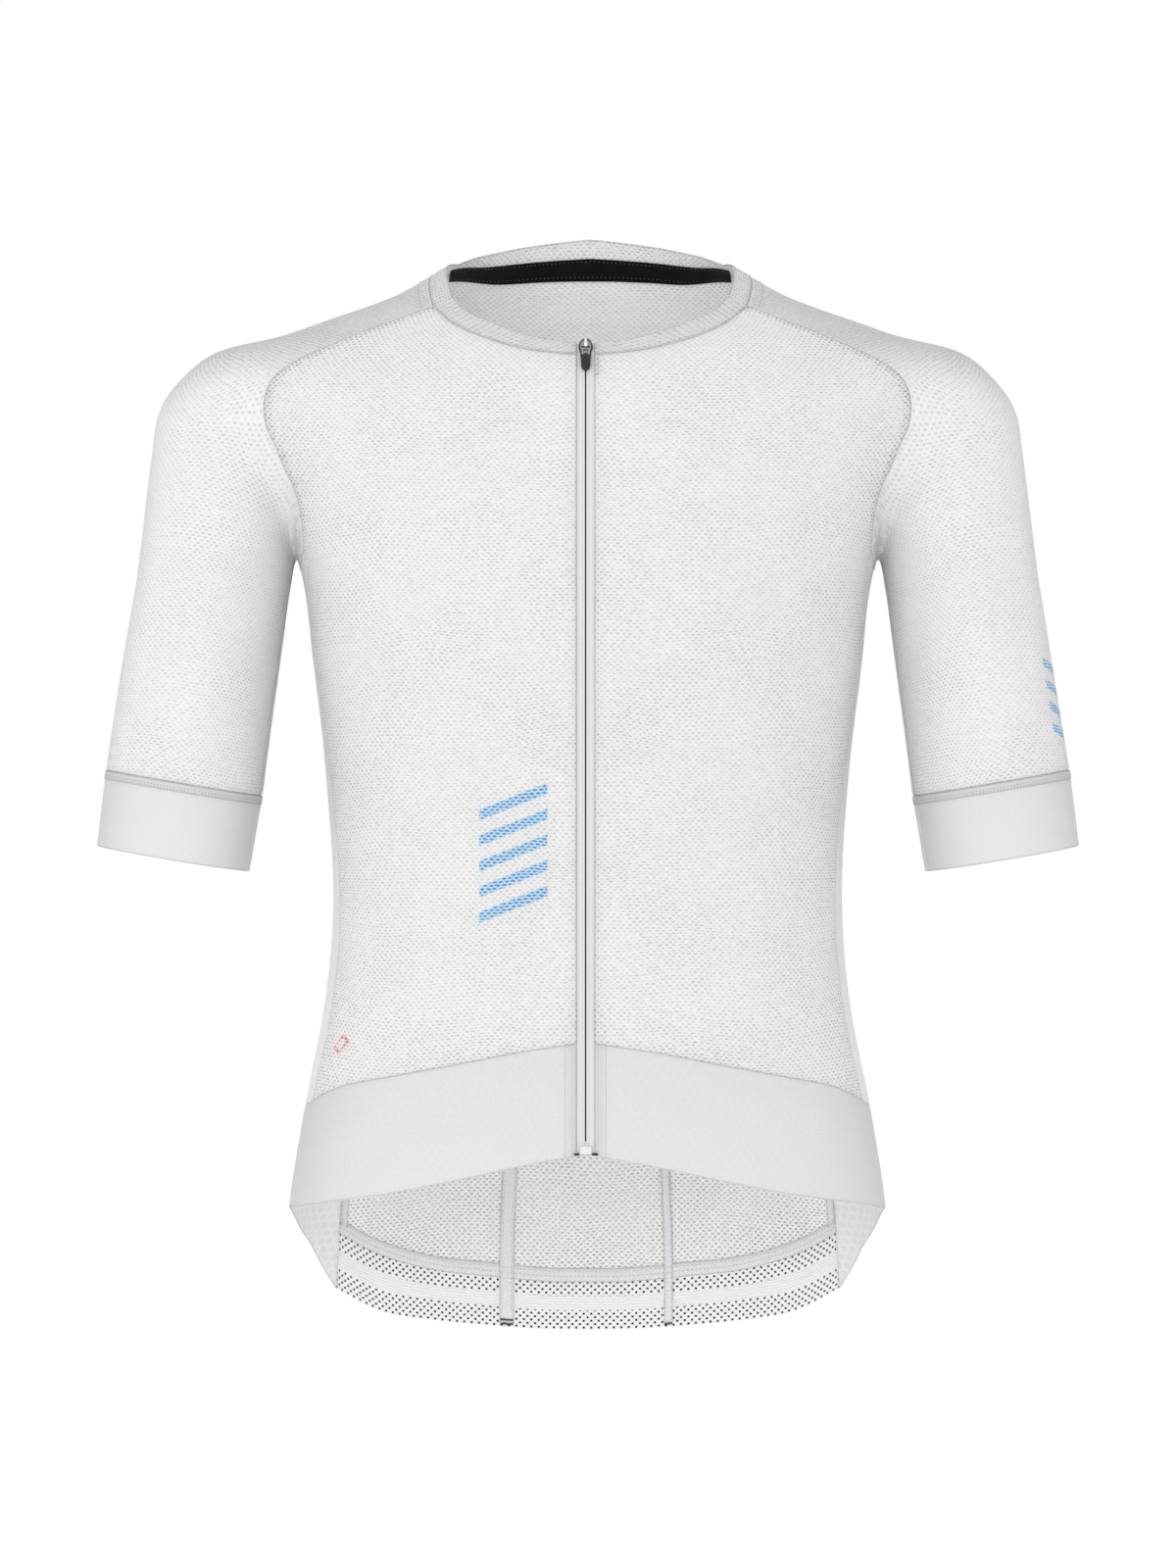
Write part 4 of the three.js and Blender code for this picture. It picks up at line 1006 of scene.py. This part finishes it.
# Pockets: three open bags of the same mesh low on the back, sewn down at their sides
# and foot, each with a narrow elastic edge along its mouth.
POCKETS = [("pocket_left", 1, 5), ("pocket_middle", 5, 11), ("pocket_right", 11, 15)]
POCKET_ROWS = 5
POCKET_CLOTH = 0.9
POCKET_EDGE = smooth_finish("elastic edge", colour(230, 230, 231), colour(221, 221, 223), rib=1.2)
for name, first, last in POCKETS:
    grid = back_grid[: POCKET_ROWS * FINE + 1, first * FINE : last * FINE + 1]
    pocket = cloth(
        f"{name}_cloth", grid, [POCKET_KNIT, POCKET_KNIT],
        out=1.4, thick=POCKET_CLOTH, raw="head", from_middle=True,
    )
    mouth = strip(f"{name}_mouth", lines_in(grid, "head", 7.4, 4.0, 0.6), POCKET_EDGE, out=1.9)
    mouth_rows = lines_in(grid, "head", 6.4, 1.8)
    side_rows = sum((lines_in(grid, edge, 1.5, 3.4) for edge in ("left", "right", "foot")), [])
    mouth_thread = stitches(f"{name}_mouth_stitches", mouth_rows, PALE_THREAD, out=1.9)
    side_thread = stitches(f"{name}_seam_stitches", side_rows, PALE_THREAD, out=1.4)
    sew(pocket, name)


# Hem band: a deep strip of smooth close knit from the zip round the side to the back,
# raw cut at its edge, with round silicone dots inside that hold it down.
BAND_FRONT_EDGE = [(ZIP_SIDE, -554), (48, -562), (90, -571), (130, -578.5), (160, -582.5)]
BAND_SIDE_EDGE = [
    # y, z
    (-36, -584), (0, -587), (25, -594), (41, -605), (54, -616), (65, -631), (75, -646),
]
SMOOTH_FACE = smooth_finish(
    "hem band face", colour(228, 228, 228), colour(212, 212, 213),
    dots=0.08, through=0.4, painted_side_shade=1.0,
)
# Painted light: the band's inside is made near white, lighter than its face, to lift the shade
# inside the hem.
SMOOTH_DOTTED = smooth_finish(
    "hem band inside", colour(255, 255, 255), colour(253, 253, 254),
    dots=0.32, through=0.6, painted_side_shade=0.0,
)
hem_front = on_side([BAND_SIDE_EDGE[0]])[0]
band_front_edge = seam([*as_seen(BAND_FRONT_EDGE), hem_front], STEPS["collar_front"])
band_side_edge = seam(on_side(BAND_SIDE_EDGE), STEPS["underarm"])
zip_band = seam([band_front_edge[0], band_front_top[0]], STEPS["band_upper"] + STEPS["gripper"])
band_grid = patch(
    join(band_front_edge, band_side_edge),
    join(band_front_top, band_side_top),
    zip_band,
    join(gripper_end[::-1], band_back_upper[::-1]),
)
both_sides("band", band_grid, [SMOOTH_FACE] * 2, SMOOTH_DOTTED, "smooth_cloth", raw="foot")
facing = [lines_in(band_grid, "left", 7.0)[0] * mirror for _, mirror in SIDES]
stitches("band_facing_stitches", facing, GREY_THREAD, long=1.3, gap=0.3, thick=0.3)


# Gripper: a broad elastic strip along the back hem, perforated above and below a
# ribbed middle, sewn on under a coverstitched seam.
HEM_BACK = [(134, -664), (102, -670.5), (54, -676), (28, -677.5), (0, -678)]
HOLE_PITCH, HOLE_ROW, HOLE_SOFT, RIB_PITCH = 5.0, 2.3, (0.62, 1.0), 1.9


def gripper_finish(name):
    finish = Finish(name, 0.65, sheen=0.1, through=0.5)
    across, foot, head = finish.read("across"), finish.read("from_foot"), finish.read("from_head")
    ribbed = (foot / (foot + head)).between(0.34, 0.60, 0.012)
    cell_x, cell_y = staggered(across / HOLE_PITCH, foot / HOLE_ROW)
    x, y = cell_x * HOLE_PITCH, cell_y * HOLE_ROW
    hole = (1 - ((x * x + y * y * 1.2) ** 0.5).rise(*HOLE_SOFT)) * (1 - ribbed)
    lines = (foot * (2 * math.pi / RIB_PITCH)).wave()
    cloud = finish.noise(finish.joined(across, foot), 0.5, 3.0)
    body = finish.mix(cloud, colour(248, 248, 250), colour(254, 254, 255))
    body = finish.mix(ribbed * (0.35 + 0.65 * lines), body, colour(255, 255, 255))
    body = finish.mix(ribbed * (1 - lines) * 0.35, body, colour(205, 205, 209))
    # Painted shade: the perforations are coloured near black for the shade inside them.
    body = finish.mix(hole, body, colour(30, 31, 35))
    return finish.wear(body, ribbed * lines - hole * 1.5, 0.0004, 0.5 - hole * 0.5)


GRIPPER = gripper_finish("perforated elastic")
hem_back = pocket_split([hem_corner, *on_back(HEM_BACK)], POCKET_SEAM_HEM_X)
gripper_half = patch(
    hem_back,
    gripper_top,
    gripper_end[::-1],
    middle_line([HEM_BACK[-1][1], BACK_MIDDLE_Z[0]], [STEPS["gripper"]]),
)
gripper_grid = whole(gripper_half)
gripper = cloth(
    "gripper_cloth", gripper_grid, [GRIPPER, GRIPPER], ripple=0.1, raw="foot", from_middle=True
)
outer_thread = stitches("gripper_stitches", lines_in(gripper_grid, "head", 1.6, 3.6), GREY_THREAD)
sew(gripper, "gripper")


# Seam covers: grey coverstitched strips inside the back, over the gripper's seam, the
# seams that part the pockets and the side seams, tacked in black at the hem.
COVER = smooth_finish(
    "seam cover", colour(240, 240, 242), colour(214, 214, 217),
    rib=1.5, through=0.06, painted_side_shade=0.0,
)
INSIDE = -CLOTH - 0.1
# Each division's column in the back, half its cover's width and its tacks' heights.
DIVISIONS = ((5 * FINE, 2.8, (2.2,)), (11 * FINE, 4.6, (2.0, 4.8)))
gripper_cover = lines_in(gripper_grid, "head", 5.4, 3.4, 1.6)
gripper_cover += [back_grid[0], *lines_in(back_grid, "foot", 1.8, 3.6)]
strip("gripper_seam_cover", gripper_cover, COVER, out=INSIDE)
cover_threads, tack_rows = gripper_cover[0:5:2], []
hem_up = np.concatenate([gripper_grid[:-1], back_grid[: POCKET_ROWS * FINE + 1]])
for column, half, tacks in DIVISIONS:
    split = lines_beside(hem_up[1:], column, -half, -0.5 * half, 0, 0.5 * half, half)
    strip(f"pocket_seam_cover_{column}", split, COVER, out=INSIDE - 0.45)
    cover_threads += lines_beside(hem_up[1:], column, -0.7 * half, 0.7 * half)
    for row in lines_in(gripper_grid, "foot", *tacks):
        centre = lengths(row)[column]
        places = np.linspace(centre - half + 0.3, centre + half - 0.3, 8)
        tack_rows.append(spaced(row, places))
side_rows = (2 * STEPS["band_upper"] + STEPS["side"]) * FINE // 2
side_edge = [line[:side_rows] for line in lines_in(back_grid, "left", 0.4, 3.6, 7.2)]
for side, mirror in SIDES:
    edge = [line * mirror for line in side_edge]
    strip(f"side_seam_cover_{side}", edge, COVER, out=INSIDE)
    cover_threads += [edge[0] * 0.7 + edge[1] * 0.3, edge[1] * 0.3 + edge[2] * 0.7]
stitches("seam_cover_stitches", cover_threads, SOFT_THREAD, out=INSIDE - 1.0)
stitches(
    "seam_cover_zigzag", gripper_cover[1:4:2], PALE_THREAD,
    long=2.6, gap=-1.4, thick=0.3, out=INSIDE - 0.5, slant=0.8,
)
stitches(
    "bar_tacks", tack_rows, BLACK_THREAD,
    long=2.2, gap=-1.5, thick=0.75, out=INSIDE - 1.1, slant=1.0,
)


# Sleeves: knit mesh in one piece with the shoulder, closed by a seam under the arm and
# sewn to the front and the back along the raglan line.
COLLAR_SIDE_SEAM = [(103, -24, 1), (104, -8, 9), (102, 16, 14)]
CUFF_HEM = (-354, -370.5)
CUFF_WIDE, CUFF_DEEP = 98, 48
FAN_LINE = np.array([190.0, 0, -185.0])
FAN_REACH, FAN_REACH_GROWTH = 50, 20

over_shoulder = settle(np.array(COLLAR_SIDE_SEAM, float))
collar_side_seam = seam([neck_front, *over_shoulder, collar_back_seam[0]], STEPS["collar_side"])
half_underarm = STEPS["underarm"] * FINE // 2
armhole = join(
    underarm[: half_underarm + 1][::-1],
    front_raglan[::-1],
    collar_side_seam,
    back_raglan,
    underarm[half_underarm:][::-1],
)[:-1]


def around_arm(across, turns):
    """Ways out from the arm's middle, turned from across towards the front."""
    return np.cos(turns)[:, None] * across + np.sin(turns)[:, None] * np.array([0, -1.0, 0])


def fan_planes(lifts):
    """Middles and inward ways of the slanted planes that fan out over the shoulder."""
    up = np.stack([np.cos(lifts), np.zeros_like(lifts), np.sin(lifts)], axis=1)
    return FAN_LINE + up * (FAN_REACH + FAN_REACH_GROWTH * lifts)[:, None], -up


lifts = np.arctan2(armhole[:, 2] - FAN_LINE[2], armhole[:, 0] - FAN_LINE[0])
fan_middles, fan_inward = fan_planes(lifts)
fan_reach = armhole - fan_middles
turns = np.arctan2(-fan_reach[:, 1], (fan_reach * fan_inward).sum(axis=1))
turns = np.where(turns < -0.001, turns + 2 * math.pi, turns)


def arm_ring(outer_z, inner_z):
    """A ring round the arm in a slanted plane, from its levels outside and inside."""
    share = (ARM_TOP[2] - (outer_z + inner_z) / 2) / (ARM_TOP[2] - ARM_END[2])
    middle = ARM_TOP + (ARM_END - ARM_TOP) * share
    across = np.array([-CUFF_WIDE, 0, inner_z - outer_z]) / math.hypot(CUFF_WIDE, inner_z - outer_z)
    return meet(np.tile(middle, (len(turns), 1)), around_arm(across, turns))


def arm_rings(low, high, steps):
    """Rings from one pair of levels to another, as rows of a grid."""
    levels = np.linspace(low, high, steps * FINE + 1)
    return np.stack([arm_ring(outer, inner) for outer, inner in levels])


def closed(grid):
    """A grid round the arm with its first column again at its end."""
    return np.concatenate([grid, grid[:, :1]], axis=1)


cuff_seam = [z + CUFF_DEEP for z in CUFF_HEM]
arm_grid = arm_rings(cuff_seam, [FAN_LINE[2]] * 2, STEPS["sleeve"])[:-1]
fan_rings = []
for k in range(STEPS["shoulder"] * FINE):
    middles, inward = fan_planes(lifts * k / (STEPS["shoulder"] * FINE))
    fan_rings.append(meet(middles, around_arm(inward, turns)))
sleeve_grid = closed(np.concatenate([arm_grid, fan_rings, [armhole]]))


def sleeve_print(finish):
    """Four such bars, smaller, on the outside of the arm."""
    u, v = (finish.read("around") + 30) / 46, (finish.read("from_foot") - 18) / 56
    return [(bars(u, v, 4), BLUE)]


SLEEVE_MESH = {
    "light": 13, "open_share": 0.38, "painted_side_shade": 0.42, "painted_top_shade": 0.64, "painted_seam_highlight": 0.9
}
SLEEVE_KNIT = knit_finish("sleeve mesh", **SLEEVE_MESH)
SLEEVE_PRINTED = knit_finish("sleeve mesh with print", print_at=sleeve_print, **SLEEVE_MESH)
yoke_first = half_underarm + STEPS["raglan"] * FINE
yoke_last = yoke_first + STEPS["collar_side"] * FINE
raglan_row = lines_in(sleeve_grid, "head", 0.9)[0]
raglan_rows = [raglan_row[: yoke_first + 1], raglan_row[yoke_last:]]
arm_seam = lines_beside(sleeve_grid, 0, 7.2, 8.6, 10.0)
grey_rows = lines_in(sleeve_grid[:, yoke_first : yoke_last + 1], "head", 7.4) + arm_seam[0:3:2]
ridges = on_both_sides(strip, "arm_seam", arm_seam, SMOOTH, out=0.4)
raglan_threads = on_both_sides(
    stitches, "raglan_stitches", raglan_rows, PALE_THREAD, long=1.7, gap=0.7, out=0.15
)
grey_threads = on_both_sides(
    stitches, "sleeve_stitches", grey_rows, GREY_THREAD, long=1.3, gap=0.8, thick=0.3, out=0.1
)
both_sides(
    "sleeve", sleeve_grid, (SLEEVE_PRINTED, SLEEVE_KNIT), KNIT_INSIDE, "knit",
    sewn_on=zip(ridges, raglan_threads, grey_threads), is_tube=True, is_sleeve=True,
)


# Cuffs: a deep band of smooth lilac grey knit round each arm, raw cut at the hem and
# coverstitched to the sleeve.
CUFF = smooth_finish("smooth cuff knit", colour(232, 230, 232), colour(223, 221, 224), rib=0.5)
cuff_grid = closed(arm_rings(CUFF_HEM, cuff_seam, STEPS["cuff_deep"]))
both_sides("cuff", cuff_grid, [CUFF] * 2, CUFF, "cuff_cloth", is_tube=True, raw="foot")
CUFF_FOLD = smooth_finish("cuff fold", colour(219, 217, 220), colour(211, 209, 212), rib=0.9)
cuff_fold = lines_in(cuff_grid, "head", 5.6, 3.0, 0.5)
cuff_rows = lines_in(cuff_grid, "head", 4.7, 3.2)
cuff_seam_rows = lines_beside(cuff_grid, 0, 7.8, 9.4)
on_both_sides(strip, "cuff_fold", cuff_fold, CUFF_FOLD, out=0.4, is_tube=True)
on_both_sides(stitches, "cuff_stitches", cuff_rows, GREY_THREAD, long=1.4, gap=0.8, out=0.45)
on_both_sides(stitches, "cuff_seam_stitches", cuff_seam_rows, PALE_THREAD, long=1.4, gap=0.5)


# Neckband: a low strip of the mesh, folded double along its top, from one side of the
# zip round to the other, and overlocked to the fronts, the sleeves and the back.
COLLAR_FRONT_EDGE = [(ZIP_SIDE, -31.5), (20, -30), (40, -26), (62, -18.5), (80, -10.5), (89, -2)]
COLLAR_SIDE_EDGE = [(92, -23, 8), (92.5, -8, 15), (91, 16, 21)]
COLLAR_BACK_EDGE = [(86, 22), (76, 27), (58, 33), (32, 38.5), (0, 42.5)]
NECKBAND = knit_finish("folded mesh", light=2, painted_top_shade=0.15)
collar_front_edge = seam(as_seen(COLLAR_FRONT_EDGE), STEPS["collar_front"])
collar_back_edge = pocket_split(on_back(COLLAR_BACK_EDGE), POCKET_SEAM_COLLAR_X)
over_shoulder = settle(np.array(COLLAR_SIDE_EDGE, float))
collar_side_edge = seam(
    [collar_front_edge[-1], *over_shoulder, collar_back_edge[0]], STEPS["collar_side"]
)
collar_end = seam([collar_front_seam[0], collar_front_edge[0]], STEPS["collar_deep"])
collar_half = patch(
    join(collar_front_seam, collar_side_seam, collar_back_seam),
    join(collar_front_edge, collar_side_edge, collar_back_edge),
    collar_end,
    middle_line([BACK_MIDDLE_Z[-1], COLLAR_BACK_EDGE[-1][1]], [STEPS["collar_deep"]]),
)
neck_grid = whole(collar_half)
neckband = cloth(
    "neckband_cloth", neck_grid, [NECKBAND, NECKBAND],
    out=0.2, thick=1.5, ripple=0.1, raw="head", is_strip=True,
)
neck_rows = lines_in(neck_grid, "foot", 0.8)
neck_thread = stitches("neckband_stitches", neck_rows, GREY_THREAD, long=1.2, gap=0.8, out=0.2)
sew(neckband, "neckband")


# Neck tape: a black woven tape over the seam inside the back of the neck, sewn down
# along both its edges.
NECK_TAPE_TOP = [(90.5, 16.2), (65, 18), (34, 20.5), (0, 22.5)]
NECK_TAPE_FOOT = [(91.5, 9.2), (60, 7), (34, 8), (0, 8.5)]
NECK_TAPE = Finish("black woven tape", 0.85, sheen=0.03, specular=0.12)
twill = ((NECK_TAPE.read("across") + NECK_TAPE.read("from_foot") * 1.2) * 5.2).wave()
NECK_TAPE.wear(NECK_TAPE.mix(twill, colour(6, 6, 7), colour(20, 20, 22)), twill, 0.0002)
tape_foot, tape_top = (seam(as_seen(line, 1), 10) for line in (NECK_TAPE_FOOT, NECK_TAPE_TOP))
tape_sides = [seam([tape_foot[k], tape_top[k]], 1) for k in (0, -1)]
neck_tape_grid = whole(patch(tape_foot, tape_top, *tape_sides))
neck_tape = cloth(
    "neck_tape_cloth", neck_tape_grid, [NECK_TAPE, NECK_TAPE],
    out=-CLOTH - 0.7, thick=0.8, sink=0, ripple=0.05, raw=ALL_EDGES, from_middle=True,
)
tape_rows = lines_in(neck_tape_grid, "foot", 2.6) + lines_in(neck_tape_grid, "head", 1.6)
tape_thread = stitches(
    "neck_tape_stitches", tape_rows, GREY_THREAD, long=0.7, gap=2.2, thick=0.3, out=-CLOTH - 1.5
)
sew(neck_tape, "neck_tape")


# Zip: two woven tapes behind the edges of the fronts, with the nylon coil behind them so
# that only its dark line shows between the tapes.
TAPE_OUT = -1.5
# Where the tapes start and end from the middle, and where they start beyond the slider.
TAPE_FROM, TAPE_TO, TAPE_FROM_OPEN = 0.65, 10.5, 2.2
zip_edge = join(zip_band, zip_front, collar_end)
zip_open = len(zip_edge) - STEPS["collar_deep"] * FINE
ZIP_TAPE = Finish("zip tape", 0.6, sheen=0.1)
bend = (ZIP_TAPE.read("across") * 3.0).sine() * 1.5
herringbone = (ZIP_TAPE.read("along") * 6.0 + bend).wave()
weave = ZIP_TAPE.mix(herringbone, colour(206, 206, 208), colour(220, 220, 222))
ZIP_TAPE.wear(weave, herringbone, 0.00015)
tape_lines = []
for k, z in enumerate(zip_edge[:, 2]):
    start = TAPE_FROM_OPEN if k >= zip_open else TAPE_FROM
    tape_lines.append(on_front([(x, z) for x in np.linspace(start, TAPE_TO, 7)]))
tape_grid = np.stack(tape_lines)
zip_row = lines_in(tape_grid, "left", 1.3)[0][:zip_open]
zip_threads = on_both_sides(
    stitches, "zip_stitches", [zip_row], GREY_THREAD, long=0.8, gap=0.6, thick=0.3, out=TAPE_OUT
)
both_sides(
    "zip_tape", tape_grid, [ZIP_TAPE] * 2, ZIP_TAPE, "zip_tape", held="stretched",
    sewn_on=[[thread] for thread in zip_threads],
    out=TAPE_OUT, thick=0.7, sink=0, ripple=0, raw=ALL_EDGES,
)


# Zip coil: the teeth of a nylon spiral that lies across both tapes' inner edges, each
# turn set aslant to the last.
COIL_PITCH, COIL_LONG, COIL_SLANT = 0.7, 3.9, 1.42
COIL_FROM_FOOT, COIL_FROM_TOP = 9, 4
COIL = grained("dark nylon coil", 0.5, colour(16, 16, 18), colour(28, 28, 30), specular=0.15)
zip_middle = on_front([(0, z) for z in zip_edge[:, 2]])
coil_end = lengths(zip_middle[:zip_open])[-1] - COIL_FROM_TOP
coil = stitches(
    "zip_coil_teeth", [spaced(zip_middle, np.arange(COIL_FROM_FOOT, coil_end, 2.0))], COIL,
    long=COIL_LONG, gap=COIL_PITCH - COIL_LONG, thick=0.85, out=TAPE_OUT - 1.2, slant=COIL_SLANT,
)
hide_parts("zip_coil")


# Zip slider: a die-cast body in gunmetal with a bridge and nose in near-white metal as a
# painted highlight, a paler face plate as a painted reflection and a black plate in its slot
# as painted shade, and below it a tab that swings on the bridge. The frame of each has Y up
# the zip and Z out of it.
PULL_PLACE, PULL_LEAN = (0, -2.6, 1.5), math.radians(5)
SLIDER_SEEN_Z, STOP_SEEN_Z = -34, -550.5
BODY_OUTLINE = [(1.3, 6.5), (2.9, 5.2), (4.3, 2.2), (4.5, -0.8), (3.7, -3.4), (3.3, -6.4)]
BACK_OUTLINE = [(3.0, 6.4), (4.2, 3.0), (4.2, -1.0), (3.2, -5.9)]
FACE_OUTLINE = [(0.9, 5.0), (2.1, 4.4), (3.2, 2.0), (3.5, -0.6), (2.8, -3.2), (2.4, -5.4)]
SLOT_OUTLINE = [(2.6, 0.0), (2.7, -0.7), (1.7, -1.5), (0.6, -1.8)]
BRIDGE_ROWS = [
    # up, out, half width, half thickness
    (-1.2, 0.4, 0.8, 0.4),
    (-1.0, 1.9, 0.9, 0.4),
    (-0.5, 2.9, 1.15, 0.45),
    (0.4, 3.1, 1.25, 0.5),
    (1.15, 2.75, 1.15, 0.5),
    (1.7, 1.75, 0.95, 0.5),
    (2.4, 1.55, 0.9, 0.55),
    (3.2, 1.5, 0.85, 0.6),
    (4.6, 1.2, 0.9, 0.65),
    (5.6, 0.9, 0.8, 0.6),
    (6.3, 0.6, 0.4, 0.3),
]
GRIP_OUTLINE = [
    (3.25, -4.5), (3.35, -5.4), (3.1, -9.0), (2.7, -13.2), (2.3, -14.8), (1.4, -15.7), (0.5, -15.9),
]
GRIP_RIBS = (-7.6, -9.4, -11.2, -13.0)
OVAL_SIDES = 10


def head_frame(seen_z):
    """The frame of a hard piece on the zip: up it and out of it, in metres."""
    place = as_seen([(0, seen_z)])
    out = outward(place)[0] * [0, 1, 1]
    out /= np.linalg.norm(out)
    up = np.cross(out, [1.0, 0, 0])
    turn = np.column_stack([[1.0, 0, 0], up, out, place[0]])
    return Matrix.Scale(0.001, 4) @ Matrix([*turn.tolist(), [0, 0, 0, 1]])


def hard_piece(name, shape, finish, frame_at, body="garment", sharp_from=math.pi):
    """A built shape as a piece that rides on a body, with its edges sharp from an angle."""
    bmesh.ops.recalc_face_normals(shape, faces=shape.faces)
    shape.transform(frame_at)
    mesh = bpy.data.meshes.new(name)
    shape.to_mesh(mesh)
    shape.free()
    mesh.shade_smooth()
    mesh.set_sharp_from_angle(angle=sharp_from)
    mesh.materials.append(finish.material)
    piece = bpy.data.objects.new(name, mesh)
    scene.collection.objects.link(piece)
    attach(piece, body)
    return piece


def bridge_rings(shape, low, high):
    """Walls between two rings of points, as long as each other."""
    return [
        shape.faces.new((low[k - 1], low[k], high[k], high[k - 1])) for k in range(len(low))
    ]


def plates(name, parts, finish, frame_at, body="garment"):
    """Plates with rounded edges: each has an outline, a low and a high face."""
    shape = bmesh.new()
    for outline, low, high, bevel in parts:
        floor_ring, top_ring = (
            [shape.verts.new((x, y, level)) for x, y in outline] for level in (low, high)
        )
        walls = [shape.faces.new(floor_ring), shape.faces.new(top_ring)]
        walls += bridge_rings(shape, floor_ring, top_ring)
        edges = list({edge for wall in walls for edge in wall.edges})
        bmesh.ops.bevel(
            shape, geom=edges, offset=bevel, segments=2, profile=0.6,
            affect="EDGES", clamp_overlap=True,
        )
    return hard_piece(name, shape, finish, frame_at, body, sharp_from=0.9)


def both_halves(outline):
    """A closed outline from its right half, which runs from the top down."""
    return outline + [(-x, y) for x, y in outline[::-1]]


def box_outline(half, low, high, middle=0.0):
    left, right = middle - half, middle + half
    return [(right, high), (right, low), (left, low), (left, high)]


def sweep(name, rows, finish, frame_at):
    """A bar with an oval section that follows a line up and out of the zip."""
    rows = np.array(rows)
    ways = np.gradient(rows[:, :2], axis=0)
    ways /= np.linalg.norm(ways, axis=1)[:, None]
    shape = bmesh.new()
    rings = []
    for (up, out, half, thick), (way_up, way_out) in zip(rows, ways):
        ring = []
        for turn in np.arange(OVAL_SIDES) * 2 * math.pi / OVAL_SIDES:
            aside, off = half * math.cos(turn), thick * math.sin(turn)
            ring.append(shape.verts.new((aside, up - way_out * off, out + way_up * off)))
        rings.append(ring)
    for low, high in zip(rings, rings[1:]):
        bridge_rings(shape, low, high)
    shape.faces.new(rings[0][::-1])
    shape.faces.new(rings[-1])
    return hard_piece(name, shape, finish, frame_at)


GUNMETAL = grained("gunmetal", 0.35, colour(58, 59, 62), colour(84, 85, 88), metallic=1.0)
# A paler gunmetal; on the slider's face it is a painted reflection.
PALE_GUNMETAL = grained("pale gunmetal", 0.3, colour(132, 133, 136), colour(170, 171, 174), metallic=1.0)
# Painted highlight: near-white metal on the slider's bridge and nose.
HIGHLIGHT_METAL = grained("bright metal for painted highlight", 0.18, colour(226, 226, 228), colour(244, 244, 246), metallic=1.0)
GRIP = grained("dark moulded grip", 0.5, colour(26, 27, 29), colour(44, 45, 48))
PALE_PLASTIC = grained("pale moulded plastic", 0.5, colour(206, 206, 208), colour(222, 222, 224))
MELTED = grained("melted black tape end", 0.6, colour(6, 6, 7), colour(18, 18, 19), grain=2500.0)
# Painted shade: a black plate set in the slider's slot, where there is only shade.
SLOT_SHADE = grained("painted shade in the slot", 0.7, colour(4, 4, 5), colour(10, 10, 11), specular=0.1)

head = head_frame(SLIDER_SEEN_Z)
slider_parts = [
    (both_halves(BODY_OUTLINE), -1.2, 0.45, 0.3),
    (both_halves(BACK_OUTLINE), -5.8, -4.8, 0.25),
    (box_outline(1.4, 5.0, 6.3), -5.0, -1.0, 0.15),
]
slider = plates("slider_body", slider_parts, GUNMETAL, head)
# Painted reflection: a paler plate on the slider's face.
plates("slider_face", [(both_halves(FACE_OUTLINE), 0.2, 0.7, 0.2)], PALE_GUNMETAL, head)
# The slot's black plate is painted shade.
plates("slider_slot", [(both_halves(SLOT_OUTLINE), 0.5, 0.85, 0.1)], SLOT_SHADE, head)
# The bridge and nose carry the painted highlight.
sweep("slider_bridge", BRIDGE_ROWS, HIGHLIGHT_METAL, head)
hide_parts("zip_slider")

pull_frame = head @ Matrix.Translation(PULL_PLACE) @ Matrix.Rotation(PULL_LEAN, 4, "X")
loop = [(box_outline(2.6, -0.55, 0.55), -0.5, 0.5, 0.25)]
loop += [(box_outline(0.62, -5.6, 0.4, aside), -0.45, 0.45, 0.2) for aside in (-1.95, 1.95)]
plates("pull_loop", loop, PALE_GUNMETAL, pull_frame, "pull_tab")
grip_parts = [(both_halves(GRIP_OUTLINE), -0.7, 0.7, 0.4)]
grip_parts += [(box_outline(1.7, y - 0.35, y + 0.35), 0.5, 0.85, 0.12) for y in GRIP_RIBS]
grip = plates("pull_grip", grip_parts, GRIP, pull_frame, "pull_tab")
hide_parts("zip_pull")


# Bottom stop: a pale moulded box that joins the tapes at the hem, and beside it the
# tapes' melted black ends.
stop_frame = head_frame(STOP_SEEN_Z)
stop_parts = [
    (box_outline(3.6, -2.5, 2.5), TAPE_OUT + 0.3, 0.4, 0.3),
    (box_outline(2.6, 1.0, 1.5), 0.3, 0.6, 0.08),
]
stop = plates("zip_stop_box", stop_parts, PALE_PLASTIC, stop_frame)
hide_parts("zip_stop")
tape_ends = [
    (box_outline(1.7, -3.2, -1.9, -5.6), -0.4, 0.55, 0.2),
    (box_outline(1.9, -3.2, -1.8, 5.7), -0.4, 0.55, 0.2),
]
plates("zip_tape_ends", tape_ends, MELTED, stop_frame)
